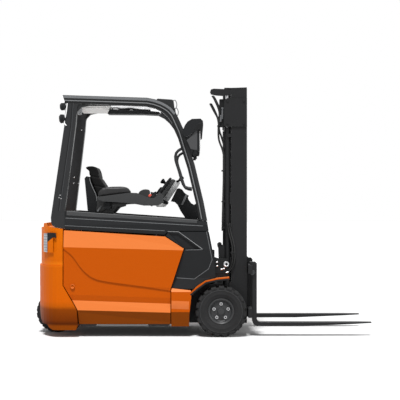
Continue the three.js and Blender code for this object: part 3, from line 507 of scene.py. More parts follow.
# ---------------------------------------------------------------- wheels
def add_lugs(shape, centre, radius, half, floor_r, lugs):
    """Blocks of tread that slant across the tyre from its middle and run down its shoulders."""
    stations = [
        (radius, floor_r * 0.98, 0.06, 0.0), (radius, floor_r * 0.98, 0.45, 0.55),
        (radius * 0.998, floor_r * 0.98, 0.78, 1.0), (radius * 0.975, floor_r * 0.96, 0.93, 1.0),
        (radius * 0.93, radius * 0.90, 1.0, 1.0), (radius * 0.875, radius * 0.87, 0.975, 1.0),
    ]
    pitch = TWO_PI / lugs
    for i in range(lugs):
        for side in (-1, 1):
            middle = pitch * (i + side * 0.25)
            rings = []
            for top, base, out, slant in stations:
                ring = []
                for r, spread in ((top, -0.29), (top, 0.29), (base, 0.33), (base, -0.33)):
                    angle = middle + pitch * (spread + 0.30 * slant)
                    place = Vector((r * math.sin(angle), side * out * half, r * math.cos(angle)))
                    ring.append(centre + place)
                rings.append(add_ring(shape, ring))
            add_loft(shape, rings)


def add_tyre(name, body, bore, lugs, tread_depth):
    """A solid tyre in the place of its frame node, with a paler ring on each wall."""
    low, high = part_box(name)
    centre = (low + high) / 2
    radius = (high.z - low.z) / 2
    half = (high.y - low.y) / 2
    floor_r = radius - tread_depth
    carcass = [
        (bore, -0.80), (bore + 0.012, -0.88), (bore + 0.020, -0.90), (radius * 0.66, -0.965),
        (radius * 0.68, -0.985), (radius * 0.70, -0.97), (radius * 0.80, -0.985), (radius * 0.82, -1.0),
        (radius * 0.84, -0.975), (radius * 0.90, -0.93), (floor_r * 0.985, -0.85), (floor_r, -0.78),
    ]
    profile = [(r, y * half) for r, y in carcass]
    profile += [(r, -y) for r, y in reversed(profile)]
    shape = bmesh.new()
    add_turned(shape, profile, centre, segments=96, closed=True)
    add_lugs(shape, centre, radius, half, floor_r, lugs)
    finish_piece(name + "_treaded", shape, "tyre_rubber", body, replaced=(name,), sharp=40)
    ring = bmesh.new()
    for side in (-1, 1):
        wall = [(radius * 0.812, side * half * 0.97), (radius * 0.816, side * half * 1.004),
                (radius * 0.826, side * half * 1.004), (radius * 0.83, side * half * 0.97)]
        add_turned(ring, wall, centre, segments=96, closed=True)
    finish_piece(name + "_wall_ring", ring, "tyre_rubber", body, look="pale_rubber")


def add_front_rim(side_name):
    """A turned rim with five wheel nuts, each on a bright washer."""
    name = "front_rim_" + side_name
    low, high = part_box(name)
    tyre_low, tyre_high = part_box("front_tyre_" + side_name)
    centre = (tyre_low + tyre_high) / 2
    outward = -1 if side_name == "right" else 1
    rim_edge = (high.z - low.z) / 2 - 0.0015
    profile = [
        (0, 0.073), (0.018, 0.073), (0.030, 0.070), (0.034, 0.064), (0.036, 0.050), (0.052, 0.046),
        (0.084, 0.043), (0.090, 0.047), (0.097, 0.060), (0.103, 0.066), (0.110, 0.069), (rim_edge, 0.067),
        (rim_edge, -0.066), (0.104, -0.066), (0.099, 0.020), (0.062, 0.020), (0.062, -0.024),
        (0.0465, -0.024), (0.0465, 0.030), (0, 0.030),
    ]
    shape = bmesh.new()
    add_turned(shape, profile, centre, axis=(0, outward, 0), segments=72)
    body = "front_wheel_" + side_name
    finish_piece(name + "_turned", shape, "rim_paint", body, replaced=(name,), sharp=28)

    washers = bmesh.new()
    nuts = bmesh.new()
    count, ring_radius, face_y = 5, 0.066, 0.045
    out = Vector((0, outward, 0))
    for i in range(count):
        angle = TWO_PI * i / count + math.radians(18)
        base = centre + out * face_y + ring_radius * Vector((math.cos(angle), 0, math.sin(angle)))
        add_rod(washers, base - out * 0.003, base + out * 0.004, 0.0155, 28, 0.0140)
        add_rod(nuts, base + out * 0.004, base + out * 0.012, 0.0085, 6)
        add_rod(nuts, base + out * 0.011, base + out * 0.016, 0.0050, 16)
    finish_piece("wheel_washers_" + side_name, washers, "bright_steel", body, bevel=0.8)
    finish_piece("wheel_nuts_" + side_name, nuts, "rim_paint", body, bevel=0.6)


def add_rear_hub_nuts():
    shape = bmesh.new()
    low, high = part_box("rear_hub")
    centre = (low + high) / 2
    count, ring_radius, face_y = 5, 0.058, 0.0815
    for side in (-1, 1):
        for i in range(count):
            angle = TWO_PI * i / count
            spoke = Vector((math.cos(angle), 0, math.sin(angle)))
            place = centre + ring_radius * spoke + Vector((0, side * face_y, 0))
            add_bolt(shape, place, (0, side, 0), across=0.022, height=0.012, washer=0.014)
    finish_piece("rear_wheel_nuts", shape, "bright_steel", "rear_wheels", bevel=0.6)


for side in ("right", "left"):
    add_tyre("front_tyre_" + side, "front_wheel_" + side, 0.118, 19, 0.014)
    add_front_rim(side)
    add_tyre("rear_tyre_" + side, "rear_wheels", 0.0995, 18, 0.009)
add_rear_hub_nuts()


# ---------------------------------------------------------------- more mesh helpers
def add_panel(shape, outline, low_y, high_y):
    """A side-view outline of [x, z] points in millimetres from the front axle, between two widths."""
    near = [shape.verts.new(at(x, low_y, z)) for x, z in outline]
    far = [shape.verts.new(at(x, high_y, z)) for x, z in outline]
    bridge(shape, near, far)
    shape.faces.new(near)
    shape.faces.new(far)


def panel_piece(name, outline, low_y, high_y, slot, body="truck", **finish):
    """A piece made of one side-view panel."""
    shape = bmesh.new()
    add_panel(shape, outline, low_y, high_y)
    return finish_piece(name, shape, slot, body, **finish)


def in_plane(y, points):
    """Points given as [x, z] in millimetres, set in the plane at y."""
    return [at(x, y, z) for x, z in points]


def add_box(shape, low, high):
    """A block between two corners given in millimetres from the front axle."""
    low, high = at(*low), at(*high)
    matrix = Matrix.Translation((low + high) / 2) @ Matrix.Diagonal((*(high - low), 1))
    bmesh.ops.create_cube(shape, size=1, matrix=matrix)


def add_strip(shape, path, width, proud, outward):
    """A flat raised ribbon that follows a path of points, standing off a surface by proud."""
    rings = []
    for i, place in enumerate(path):
        ahead = (path[min(i + 1, len(path) - 1)] - path[max(i - 1, 0)]).normalized()
        across = ahead.cross(outward).normalized() * (width / 2)
        lift = outward * proud
        rings.append(add_ring(shape, [
            place - across, place - across * 0.8 + lift, place + across * 0.8 + lift, place + across,
        ]))
    add_loft(shape, rings)


def rounded_outline(points, radius, steps=4):
    """The same outline with each corner turned into a short curve of about the given radius."""
    smooth = []
    count = len(points)
    for i, corner in enumerate(points):
        here = Vector(corner)
        before = Vector(points[i - 1]) - here
        after = Vector(points[(i + 1) % count]) - here
        reach = min(radius, before.length * 0.45, after.length * 0.45)
        start = here + before.normalized() * reach
        end = here + after.normalized() * reach
        for k in range(steps + 1):
            t = k / steps
            smooth.append(tuple((1 - t) ** 2 * start + 2 * t * (1 - t) * here + t * t * end))
    return smooth


# ---------------------------------------------------------------- soft parts
def swollen_pad(node, outline, low_y, high_y, look, cap, seams, shrink=5.0, groove=0.006, rounds=6):
    """A cushion: a closed cover that is blown up by a cloth simulation, then sewn along its seams.
    The outline is a side view in millimetres. A seam is (origin, normal, width) of a sewn plane."""
    shape = bmesh.new()
    middle = Vector((sum(p[0] for p in outline), sum(p[1] for p in outline))) / len(outline)
    inner = []
    for point in rounded_outline(outline, 4 * rounds):
        away = Vector(point) - middle
        inner.append(tuple(middle + away * max(0.0, 1 - shrink / away.length)))
    add_panel(shape, inner, low_y + shrink, high_y - shrink)
    pad = mesh_object(node + "_cover", shape)
    remesh = pad.modifiers.new("even", "REMESH")
    remesh.mode = "VOXEL"
    remesh.voxel_size = 0.009
    bake_mesh(pad)
    round_corners(pad, rounds)
    blow_up(pad, cap)
    subdivide = pad.modifiers.new("fine", "SUBSURF")
    subdivide.levels = 1
    subdivide.render_levels = 1
    bake_mesh(pad)
    for origin, normal, width in seams:
        sew(pad, Vector(origin), Vector(normal).normalized(), width, groove)
    pad.data.materials.clear()
    pad.data.materials.append(looks[look])
    pad.data.shade_smooth()
    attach(pad, "truck")
    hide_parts(node)


def bake_mesh(piece):
    """Turns the piece's modifiers, and any simulation in them, into its mesh."""
    graph = bpy.context.evaluated_depsgraph_get()
    graph.update()
    final = bpy.data.meshes.new_from_object(piece.evaluated_get(graph))
    piece.modifiers.clear()
    piece.data = final


def round_corners(piece, rounds):
    """Softens the cut edges before the pad is blown up."""
    shape = bmesh.new()
    shape.from_mesh(piece.data)
    for _ in range(rounds):
        bmesh.ops.smooth_vert(shape, verts=shape.verts, factor=0.5, use_axis_x=True, use_axis_y=True,
                              use_axis_z=True)
    shape.to_mesh(piece.data)
    shape.free()


def blow_up(piece, cap):
    """Cloth under pressure with no gravity. No point ends further than cap from where it started."""
    rest = [v.co.copy() for v in piece.data.vertices]
    cloth = piece.modifiers.new("cover", "CLOTH")
    cloth.settings.use_pressure = True
    cloth.settings.uniform_pressure_force = 4.0
    cloth.settings.effector_weights.gravity = 0
    cloth.settings.quality = 5
    scene = bpy.context.scene
    for frame_number in range(1, 21):
        scene.frame_set(frame_number)
    bake_mesh(piece)
    scene.frame_set(1)
    for vertex, start in zip(piece.data.vertices, rest):
        shift = vertex.co - start
        if shift.length > cap:
            vertex.co = start + shift * (cap / shift.length)


def sew(piece, origin, normal, width, depth):
    """Presses a sewn channel into the cover along the plane through origin."""
    for vertex in piece.data.vertices:
        distance = abs((vertex.co - origin).dot(normal))
        if distance < width * 3:
            vertex.co -= vertex.normal * depth * math.exp(-(distance / width) ** 2)


def build_seat():
    """The cushion and the back, sewn across and along, and the armrest's pad with one seam."""
    cushion = [
        (-1097, 1176), (-880, 1186), (-750, 1196), (-727, 1208), (-725, 1228), (-745, 1250), (-830, 1254),
        (-1097, 1238),
    ]
    seam_width = 0.006
    seams = [(at(0, y, 0), (0, 1, 0), seam_width) for y in (-150, 150)]
    seams += [(at(x, 0, 0), (1, 0, 0.15), seam_width) for x in (-980, -860)]
    swollen_pad("seat_cushion", cushion, -236, 236, "seat_fabric", 0.012, seams)
    back = [
        (-1128, 1256), (-1034, 1262), (-1040, 1310), (-1056, 1342), (-1108, 1424), (-1124, 1484),
        (-1142, 1522), (-1172, 1536), (-1214, 1534), (-1246, 1524), (-1206, 1492), (-1206, 1459),
        (-1176, 1373), (-1140, 1285),
    ]
    seams = [(at(0, y, 0), (0, 1, 0), seam_width) for y in (-140, 140)]
    seams += [(at(-1090, 0, z), (0.2, 0, 1), seam_width) for z in (1420, 1340)]
    swollen_pad("seat_back", back, -205, 205, "back_leather", 0.004, seams,
                shrink=1.0, groove=0.004, rounds=2)
    pad = [
        (-1116, 1246), (-1108, 1292), (-1076, 1328), (-1000, 1339), (-874, 1341), (-838, 1330), (-808, 1290),
        (-808, 1282), (-960, 1264),
    ]
    seams = [(at(-960, 0, 1272), (0.13, 0, -1), 0.004)]
    swollen_pad("armrest_pad", pad, -344, -260, "satin_leather", 0.003, seams,
                shrink=1.0, groove=0.004, rounds=3)


build_seat()


# ---------------------------------------------------------------- surfaces the trim lies on
def section(table):
    """How far out a side surface stands at height z, read between [height, distance] pairs."""
    def reach(z):
        for (low, a), (high, b) in zip(table, table[1:]):
            if z <= high:
                share = max(0.0, (z - low) / (high - low))
                return a + (b - a) * share
        return table[-1][1]
    return reach


guard_side_y = section([(950, 512), (2200, 512 - 0.0487 * 1250)])
belt_y = section([(900, 512), (1000, 514), (1070, 503), (1140, 499)])
cowl_y = section([(430, 522), (527, 505), (780, 520), (940, 509)])
outer_y = section([(0, HALF_WIDTH), (1000, HALF_WIDTH)])


def divided(run, step=50):
    """The same broken line with points at most step apart."""
    fine = [Vector(run[0])]
    for start, end in zip(run, run[1:]):
        start, end = Vector(start), Vector(end)
        pieces = max(1, math.ceil((end - start).length / step))
        fine += [start.lerp(end, k / pieces) for k in range(1, pieces + 1)]
    return fine


def shifted(run, inward):
    """A broken line moved sideways, to the right of the way it runs."""
    moved = []
    for i, point in enumerate(run):
        ahead = (Vector(run[min(i + 1, len(run) - 1)]) - Vector(run[max(i - 1, 0)])).normalized()
        moved.append(Vector(point) + Vector((ahead.y, -ahead.x)) * inward)
    return moved


def side_strips(name, run, reach, width, proud, slot, look, sides=(-1, 1)):
    """Flat ribbons along a broken line of [x, z], lying on the side surfaces of the truck."""
    sunk = 1.5
    shape = bmesh.new()
    for side in sides:
        path = [at(x, side * (reach(z) - sunk), z) for x, z in divided(run)]
        add_strip(shape, path, width * MM, (proud + sunk) * MM, Vector((0, side, 0)))
    finish_piece(name, shape, slot, look=look)


# ---------------------------------------------------------------- overhead guard trim
roof_line = [
    (-1424, 2158), (-1000, 2145), (-661, 2133), (-590, 2119), (-528, 2097), (-484, 2073), (-445, 2046),
    (-403, 1998), (-370, 1930), (-332, 1845), (-236, 1540), (-156, 1205), (-128, 1060),
]
roof_only = roof_line[:8]


def build_guard_trim():
    rear_line = [(-1352, 2090), (-1366, 1883), (-1470, 1127)]
    # Dark strips are painted shade in the grooves and the inner band; the lighter strips are painted
    # highlights on the rail's face and along the beads.
    for name, line, inward, width, proud, look in (
        ("roof_rail_face", roof_only, 14, 24, 2.5, "guard_painted_highlight"),
        ("guard_groove", roof_line, 33, 9, 1.0, "guard_painted_shade"),
        ("pale_grey_and_painted_highlight", roof_line, 46, 9, 3.0, "pale_grey_and_painted_highlight"),
        ("guard_inner_band", roof_line, 62, 17, 1.2, "guard_painted_shade"),
        ("rear_pillar_groove", rear_line, -22, 9, 1.0, "guard_painted_shade"),
        ("rear_pillar_bead", rear_line, -31, 8, 2.0, "guard_mid"),
    ):
        side_strips(name, shifted(line, inward), guard_side_y, width, proud, "guard_paint", look)


def build_roof_lining():
    """What hangs under the roof: its liner, clear insert, console, wires and speaker."""
    liner = bmesh.new()
    add_box(liner, (-1312, -374, 2064), (-992, 374, 2070))
    add_box(liner, (-1300, -300, 2052), (-1010, 300, 2063))
    # The liner and the clear insert glow: painted light.
    finish_piece("roof_liner_rear", liner, "grey_plastic", bevel=3, look="liner_painted_glow")
    window = bmesh.new()
    add_box(window, (-990, -374, 2066), (-700, 374, 2070))
    add_box(window, (-700, -374, 2058), (-560, 374, 2062))
    finish_piece("roof_window", window, "grey_plastic", bevel=1, look="clear_roof_painted_glow")
    outline = [(-1030, 2010), (-1012, 2050), (-900, 2047), (-700, 2036), (-565, 2026), (-546, 2014),
               (-572, 1998), (-700, 2004), (-1028, 2006)]
    panel_piece("roof_console", outline, -260, -90, "dark_plastic", bevel=4, sharp=25)
    wires = bmesh.new()
    for y, rise in ((-250, 0), (-180, 8)):
        run = [(-990, 2058 + rise), (-950, 2060 + rise), (-905, 2052), (-820, 2056), (-740, 2046),
               (-640, 2040)]
        add_tube(wires, in_plane(y, run), 0.006, sides=10)
    finish_piece("roof_wires", wires, "hose_rubber")
    drop = bmesh.new()
    bell = [(0, 0), (0.014, 0), (0.018, 0.004), (0.019, 0.046), (0, 0.046)]
    add_turned(drop, bell, at(-1283, -250, 1997), (0, 0, 1))
    add_box(drop, (-1306, -300, 2042), (-1258, -200, 2053))
    finish_piece("roof_speaker", drop, "grey_plastic", bevel=2, look="pale_plastic")


def build_roof_brackets():
    """On each side a gusset, a front bracket with a wire loop, and a cap on the rear corner."""
    for side, word in SIDES:
        outline = [(-1316, 2078), (-1176, 2074), (-1176, 2064), (-1246, 2050), (-1284, 2010), (-1296, 1965),
                   (-1318, 1965)]
        panel_piece("pillar_gusset_" + word, outline, side * 410, side * 448, "guard_paint", bevel=2)
        outline = [(-590, 2112), (-566, 2129), (-436, 2120), (-424, 2108), (-414, 2020), (-470, 2060)]
        panel_piece("roof_front_bracket_" + word, outline, side * 380, side * 440, "guard_paint", bevel=3)
        loop = bmesh.new()
        run = [(-430, 2114), (-408, 2112), (-396, 2080), (-400, 2050), (-416, 2034)]
        add_tube(loop, in_plane(side * 430, run), 0.004, sides=10)
        finish_piece("roof_front_loop_" + word, loop, "grey_plastic", look="pale_grey_and_painted_highlight")
        # The corner cap glows: painted light.
        outline = [(-1450, 2110), (-1440, 2168), (-1420, 2164), (-1398, 2100), (-1400, 2086), (-1436, 2086)]
        panel_piece("roof_corner_cap_" + word, outline, side * 448, side * 466, "grey_plastic", bevel=4,
                    look="white_plastic_painted_glow")


def build_rear_lamps():
    """Two round lamps on a pale bracket on each rear pillar."""
    for side, word in SIDES:
        shape = bmesh.new()
        for z, radius, drop in ((2056, 0.034, 7), (1948, 0.041, 0)):
            profile = [(0, 0.050), (radius * 0.6, 0.048), (radius * 0.95, 0.038), (radius, 0.026),
                       (radius * 0.9, 0.020), (radius, 0.014), (radius * 0.8, 0.002),
                       (radius * 0.5, -0.010), (0, -0.010)]
            add_turned(shape, profile, at(-1399 + drop, side * 452, z), (-1, 0, -0.05), segments=40)
        finish_piece("rear_lamp_bodies_" + word, shape, "dark_plastic", replaced=("rear_lamps_" + word,))
        bracket = bmesh.new()
        run = [at(-1384, side * 452, 2080), at(-1393, side * 452, 2000), at(-1404, side * 452, 1912)]
        for start, end in zip(run, run[1:]):
            add_strip(bracket, [start, end], 0.036, 0.004, Vector((-1, 0, 0)))
        rim = [at(-1374, side * 467, 2084), at(-1384, side * 468, 2000), at(-1400, side * 470, 1915),
               at(-1382, side * 472, 1884)]
        add_tube(bracket, rim, 0.005, sides=10, steps=24)
        # The bracket glows: painted light.
        finish_piece("rear_lamp_bracket_" + word, bracket, "grey_plastic", look="white_plastic_painted_glow")


def build_front_lamps():
    """A shell, a ribbed lens, a visor and short stems for each front lamp."""
    for side, word in SIDES:
        outline = [(-264, 1792), (-222, 1846), (-212, 1846), (-212, 1662), (-272, 1672), (-290, 1716),
                   (-308, 1750)]
        panel_piece("lamp_shell_" + word, outline, side * 500, side * 521, "grey_plastic", bevel=4,
                    look="lamp_grey")
        lens = bmesh.new()
        near_y, far_y = sorted((side * 488, side * 516))
        add_box(lens, (-192, near_y, 1672), (-186, far_y, 1836))
        for z in range(1684, 1832, 16):
            add_box(lens, (-187, near_y + 3, z), (-184, far_y - 3, z + 8))
        finish_piece("lamp_lens_" + word, lens, "lamp_plastic", bevel=1.5)
        # Under the visor, a dark sheet: painted shade.
        outline = [(-246, 1838), (-205, 1898), (-172, 1902), (-166, 1880), (-188, 1852)]
        panel_piece("lamp_visor_shade_" + word, outline, side * 500, side * 533, "dark_plastic", bevel=3,
                    look="guard_painted_shade")
        knobs = bmesh.new()
        stems = [(-260, 1640, 1672, 0.013), (-230, 1622, 1664, 0.015), (-205, 1650, 1672, 0.010)]
        for x, low_z, high_z, radius in stems:
            add_rod(knobs, at(x, side * 505, low_z), at(x, side * 505, high_z), radius, 16)
        finish_piece("lamp_knobs_" + word, knobs, "dark_plastic", bevel=2)


build_guard_trim()
build_roof_lining()
build_roof_brackets()
build_rear_lamps()
build_front_lamps()


# ---------------------------------------------------------------- steering
STEER_LEAN = 0.62
steer_centre = at(-550, 0, 1296)
steer_turn = Matrix((
    (math.sin(STEER_LEAN), 0, -math.cos(STEER_LEAN)),
    (0, 1, 0),
    (math.cos(STEER_LEAN), 0, math.sin(STEER_LEAN)),
))


def on_wheel(along, across, up):
    """A point in the steering wheel's own millimetres: up its plane, across it, and towards the driver."""
    return steer_centre + steer_turn @ (Vector((along, across, up)) * MM)


def across_axis(points):
    """Outline points given as [along the wheel, behind its plane] turned into the side view."""
    flat = []
    for along, behind in points:
        place = on_wheel(along, 0, -behind)
        flat.append((place.x / MM - AXLE_X, place.z / MM))
    return flat


def build_steering_wheel():
    shape = bmesh.new()
    ring_radius, grip_radius, grip_sides = 0.150, 0.0125, 16
    turns = [TWO_PI * k / grip_sides for k in range(grip_sides)]
    grip = [(ring_radius + grip_radius * math.cos(t), grip_radius * math.sin(t)) for t in turns]
    towards_driver = steer_turn @ Vector((0, 0, 1))
    add_turned(shape, grip, steer_centre, towards_driver, segments=72, closed=True)
    for degrees in (90, 210, 330):
        angle = math.radians(degrees)
        end = (150 * math.cos(angle), 150 * math.sin(angle))
        spoke = [on_wheel(0, 0, 4), on_wheel(end[0] * 0.5, end[1] * 0.5, -2), on_wheel(*end, 0)]
        add_tube(shape, spoke, 0.010, sides=12)
    hub = [(0, -0.012), (0.034, -0.012), (0.042, 0.0), (0.042, 0.020), (0.034, 0.031), (0, 0.034)]
    add_turned(shape, hub, steer_centre, towards_driver, segments=40)
    knob = [(0, 0), (0.012, 0), (0.013, 0.028), (0.022, 0.044), (0.026, 0.056), (0.020, 0.064), (0, 0.066)]
    add_turned(shape, knob, on_wheel(90, 120, 0), towards_driver, segments=32)
    finish_piece("steering_wheel_ring", shape, "dark_plastic", "steering_wheel",
                 replaced=("steering_wheel",), sharp=50)


def build_steering_column():
    """The column's covers, the stalk on its right-hand side and the clamp that sets its lean."""
    for name, half, slot, finish, outline in (
        ("upper", 80, "grey_plastic", dict(replaced=("steering_cover",), bevel=7, look="cover_dark"),
         [(160, 16), (169, 48), (-110, 56), (-128, 40), (-118, 16)]),
        # The lower cover: pale grey with a painted highlight towards its top.
        ("lower", 78, "grey_plastic", dict(bevel=7, look="pale_cover_painted_highlight"),
         [(170, 50), (176, 94), (150, 99), (-36, 106), (-42, 100), (-42, 58)]),
        ("notch", 74, "dark_plastic", dict(bevel=3),
         [(-40, 60), (-40, 116), (-64, 116), (-78, 60)]),
        # The foot glows: painted light.
        ("foot", 72, "grey_plastic", dict(bevel=5, look="liner_painted_glow"),
         [(-78, 60), (-62, 112), (-92, 112), (-136, 50), (-122, 18), (-112, 40)]),
    ):
        panel_piece("steering_cover_" + name, across_axis(outline), -half, half, slot, **finish)
    stalk = bmesh.new()
    add_tube(stalk, [at(-408, -60, 1388), at(-385, -90, 1398), at(-352, -120, 1424)], 0.011, sides=12)
    add_rod(stalk, at(-372, -104, 1408), at(-346, -126, 1429), 0.015, 14)
    finish_piece("direction_stalk", stalk, "dark_plastic")

    outline = [(-300, 1268), (-318, 1279), (-362, 1180), (-346, 1172)]
    panel_piece("column_clamp", outline, -66, 66, "grey_plastic", bevel=3, look="clamp_grey")
    # A dark line along the clamp's edge: painted shade.
    outline = [(-290, 1262), (-300, 1268), (-346, 1172), (-336, 1166)]
    panel_piece("column_clamp_edge", outline, -65, 65, "dark_plastic", bevel=2, look="guard_painted_shade")


build_steering_wheel()
build_steering_column()


# ---------------------------------------------------------------- hand controls
def build_levers():
    outline = rounded_outline([(-748, 1276), (-735, 1298), (-712, 1312), (-686, 1319), (-650, 1314),
                               (-640, 1298), (-642, 1268), (-654, 1236), (-700, 1248)], 10)
    panel_piece("palm_rest", outline, -338, -266, "dark_plastic", replaced=("control_levers",), bevel=9,
                look="gloss_black")
    button = bmesh.new()
    dome = [(0.016, 0), (0.020, 0.008), (0.020, 0.020), (0.014, 0.030), (0, 0.032)]
    add_turned(button, dome, at(-643, -322, 1243), (0, 0, 1), segments=32)
    finish_piece("stop_button", button, "dark_plastic", look="red_plastic")
    levers = bmesh.new()
    finger = rounded_outline([(-628, 1236), (-634, 1280), (-636, 1296), (-610, 1288), (-586, 1300),
                              (-578, 1284), (-584, 1262), (-592, 1240)], 8)
    for y in (-312, -292, -272):
        add_panel(levers, finger, y - 8, y + 8)
    finish_piece("finger_levers", levers, "dark_plastic", bevel=2)
    # The levers' base in the darkest grey: painted shade under the levers.
    outline = [(-664, 1228), (-650, 1262), (-582, 1258), (-576, 1246), (-600, 1222)]
    panel_piece("lever_base", outline, -340, -262, "dark_plastic", bevel=3, look="guard_painted_shade")


build_levers()


# ---------------------------------------------------------------- seat fittings
def build_seat_fittings():
    dark = bmesh.new()
    hinge = [(-1136, 1108), (-1128, 1248), (-1066, 1240), (-1040, 1196), (-1016, 1150), (-1090, 1110)]
    rail = [(-1120, 1100), (-1100, 1192), (-840, 1192), (-889, 1158), (-946, 1157), (-985, 1096)]
    add_panel(dark, hinge, -236, -212)
    add_panel(dark, rail, -214, -204)
    finish_piece("seat_recliner", dark, "dark_plastic", bevel=3, look="gloss_black")
    outline = [(-1131, 1118), (-1116, 1112), (-1079, 1166), (-1090, 1176)]
    panel_piece("seat_belt_stalk", outline, -246, -237, "grey_plastic", bevel=2, look="clamp_grey")
    handle = bmesh.new()
    run = [(-1031, 1180), (-1028, 1146), (-1000, 1139), (-981, 1156), (-984, 1180)]
    add_tube(handle, in_plane(-222, run), 0.0045, sides=10)
    finish_piece("seat_slide_handle", handle, "dark_plastic", look="pale_grey_and_painted_highlight")
    seam = bmesh.new()
    run = [(-1198, 1420), (-1190, 1384), (-1166, 1325), (-1138, 1262), (-1131, 1210)]
    add_tube(seam, in_plane(-217, run), 0.004, sides=10)
    finish_piece("seat_shell_piping", seam, "grey_plastic", look="pale_grey_and_painted_highlight")


build_seat_fittings()


# ---------------------------------------------------------------- lines and seams on the sides: painted highlights and shade
def build_side_lines():
    # A lighter strip on the sill's top and thin beads are painted highlights; the groove and the shadow gap
    # under the belt are painted shade.
    for name, run, width, proud, look in (
        ("sill_face", [(-1376, 1102), (-215, 1022)], 42, 1.5, "sill_top_painted_highlight"),
        ("sill_groove", [(-1374, 1076), (-206, 1010)], 8, 0.6, "guard_painted_shade"),
        ("sill_bead", [(-1385, 1059), (-162, 989)], 6, 2.0, "guard_painted_highlight"),
        ("belt_low_bead", [(-1391, 992), (-502, 946)], 5, 1.5, "guard_painted_highlight"),
        ("belt_shadow_gap", [(-1391, 974), (-502, 926)], 30, 0.8, "guard_painted_shade"),
    ):
        side_strips(name, run, belt_y, width, proud, "dark_plastic", look)
    # Painted highlights along the cowl's edges and crease.
    for name, run, proud, look in (
        ("cowl_edge", [(-476, 940), (-378, 937), (-166, 783)], 2.5, "edge_painted_highlight"),
        ("cowl_low_edge", [(-316, 775), (-170, 778)], 2.0, "guard_painted_highlight"),
        ("cowl_crease", [(-398, 527), (-238, 516), (-112, 606), (-80, 690), (-130, 938)], 1.5,
         "guard_painted_highlight"),
    ):
        side_strips(name, run, cowl_y, 5, proud, "dark_plastic", look, sides=(-1,))
    # A dark strip under the wheel arch's edge: painted shade.
    arch = [(-272, 376), (-203, 434), (-133, 484), (-33, 507), (70, 517)]
    side_strips("arch_under_edge", arch, outer_y, 18, 1.0, "dark_plastic", "guard_painted_shade")
    # The fender's ledge in a lighter orange: a painted highlight.
    ledge = [(-441, 290), (-286, 284)]
    side_strips("fender_ledge", ledge, outer_y, 82, 0.6, "orange_paint", "ledge_painted_highlight")


build_side_lines()


def build_pillar_filler():
    shape = bmesh.new()
    for side in (-1, 1):
        add_panel(shape, [(-196, 1010), (-240, 1180), (-222, 1188), (-160, 1010)], side * 452, side * 470)
    finish_piece("dash_end_caps", shape, "dark_plastic", bevel=3)


build_pillar_filler()


# ---------------------------------------------------------------- counterweight trim
def weight_y(x):
    """How far out the counterweight's flank stands at x millimetres from the front axle."""
    back = min(max(0.0, (WEIGHT_CORNER_X - x) / WEIGHT_CORNER_DEPTH), 0.999)
    return HALF_WIDTH * (1 - back ** WEIGHT_CORNER_POWER) ** (1 / WEIGHT_CORNER_POWER)


def add_wrap(shape, side, rear_x, front_x, edges, proud):
    """A skin on the counterweight's corner between two heights given for each end as [low, high]."""
    columns = 12
    rings = []
    for k in range(columns + 1):
        share = k / columns
        x = rear_x + (front_x - rear_x) * share
        low = edges[0][0] + (edges[1][0] - edges[0][0]) * share
        high = edges[0][1] + (edges[1][1] - edges[0][1]) * share
        y = weight_y(x)
        rings.append(add_ring(shape, [
            at(x, side * (y - 2), low), at(x, side * (y + proud), low),
            at(x, side * (y + proud), high), at(x, side * (y - 2), high),
        ]))
    add_loft(shape, rings)


def build_tail():
    """The lamps let into the counterweight's corners, and the door's lock."""
    for side, word in SIDES:
        cover = bmesh.new()
        add_wrap(cover, side, -1550, -1494, [(752, 926), (752, 926)], 2)
        finish_piece("tail_lamp_cover_" + word, cover, "cast_paint")
        # A dark skin over the lamp's top: painted shade in its recess.
        shade = bmesh.new()
        add_wrap(shade, side, -1552, -1490, [(846, 928), (890, 928)], 4)
        add_wrap(shade, side, -1490, -1466, [(890, 928), (882, 925)], 4)
        finish_piece("tail_recess_" + word, shade, "dark_plastic", look="guard_painted_shade")
        lens = bmesh.new()
        add_wrap(lens, side, -1590, -1550, [(758, 922), (752, 922)], 10)
        finish_piece("tail_lens_" + word, lens, "lamp_plastic", bevel=3, look="lens_silver")
        ribs = bmesh.new()
        for z in range(770, 915, 24):
            add_wrap(ribs, side, -1589, -1551, [(z, z + 3), (z, z + 3)], 11)
        finish_piece("tail_lens_ribs_" + word, ribs, "lamp_plastic", look="lamp_grey")
    lock = bmesh.new()
    dish = [(0, 0.0), (0.009, 0.0), (0.013, 0.003), (0.019, 0.0035), (0.021, -0.002), (0, -0.002)]
    add_turned(lock, dish, at(-1320, -539.5, 450), (0, -1, 0), segments=32)
    finish_piece("door_lock", lock, "orange_paint", "battery_door")


build_tail()


# ---------------------------------------------------------------- mast, hoses and the bay behind the cowl
HOSE_RADIUS = 0.0085


def build_side_hoses():
    """The pair of hoses that runs down beside the mast's foot, and their clamps."""
    side_y = -349
    hoses = bmesh.new()
    for shift in (0, 18):
        run = [(76, 5, 1012), (90, 5, 925), (119, -2, 808), (124, -2, 671), (92, 5, 594), (44, 7, 566)]
        add_tube(hoses, [at(x - shift, side_y + out, z) for x, out, z in run], HOSE_RADIUS, steps=40)
    finish_piece("side_hose_pair", hoses, "hose_rubber", "mast_outer", replaced=("side_hoses",))
    clamps = bmesh.new()
    add_box(clamps, (54, side_y - 6, 985), (104, -328, 998))
    add_box(clamps, (88, side_y - 12, 736), (132, -328, 748))
    finish_piece("side_hose_clamps", clamps, "frame_paint", "mast_outer", bevel=2)


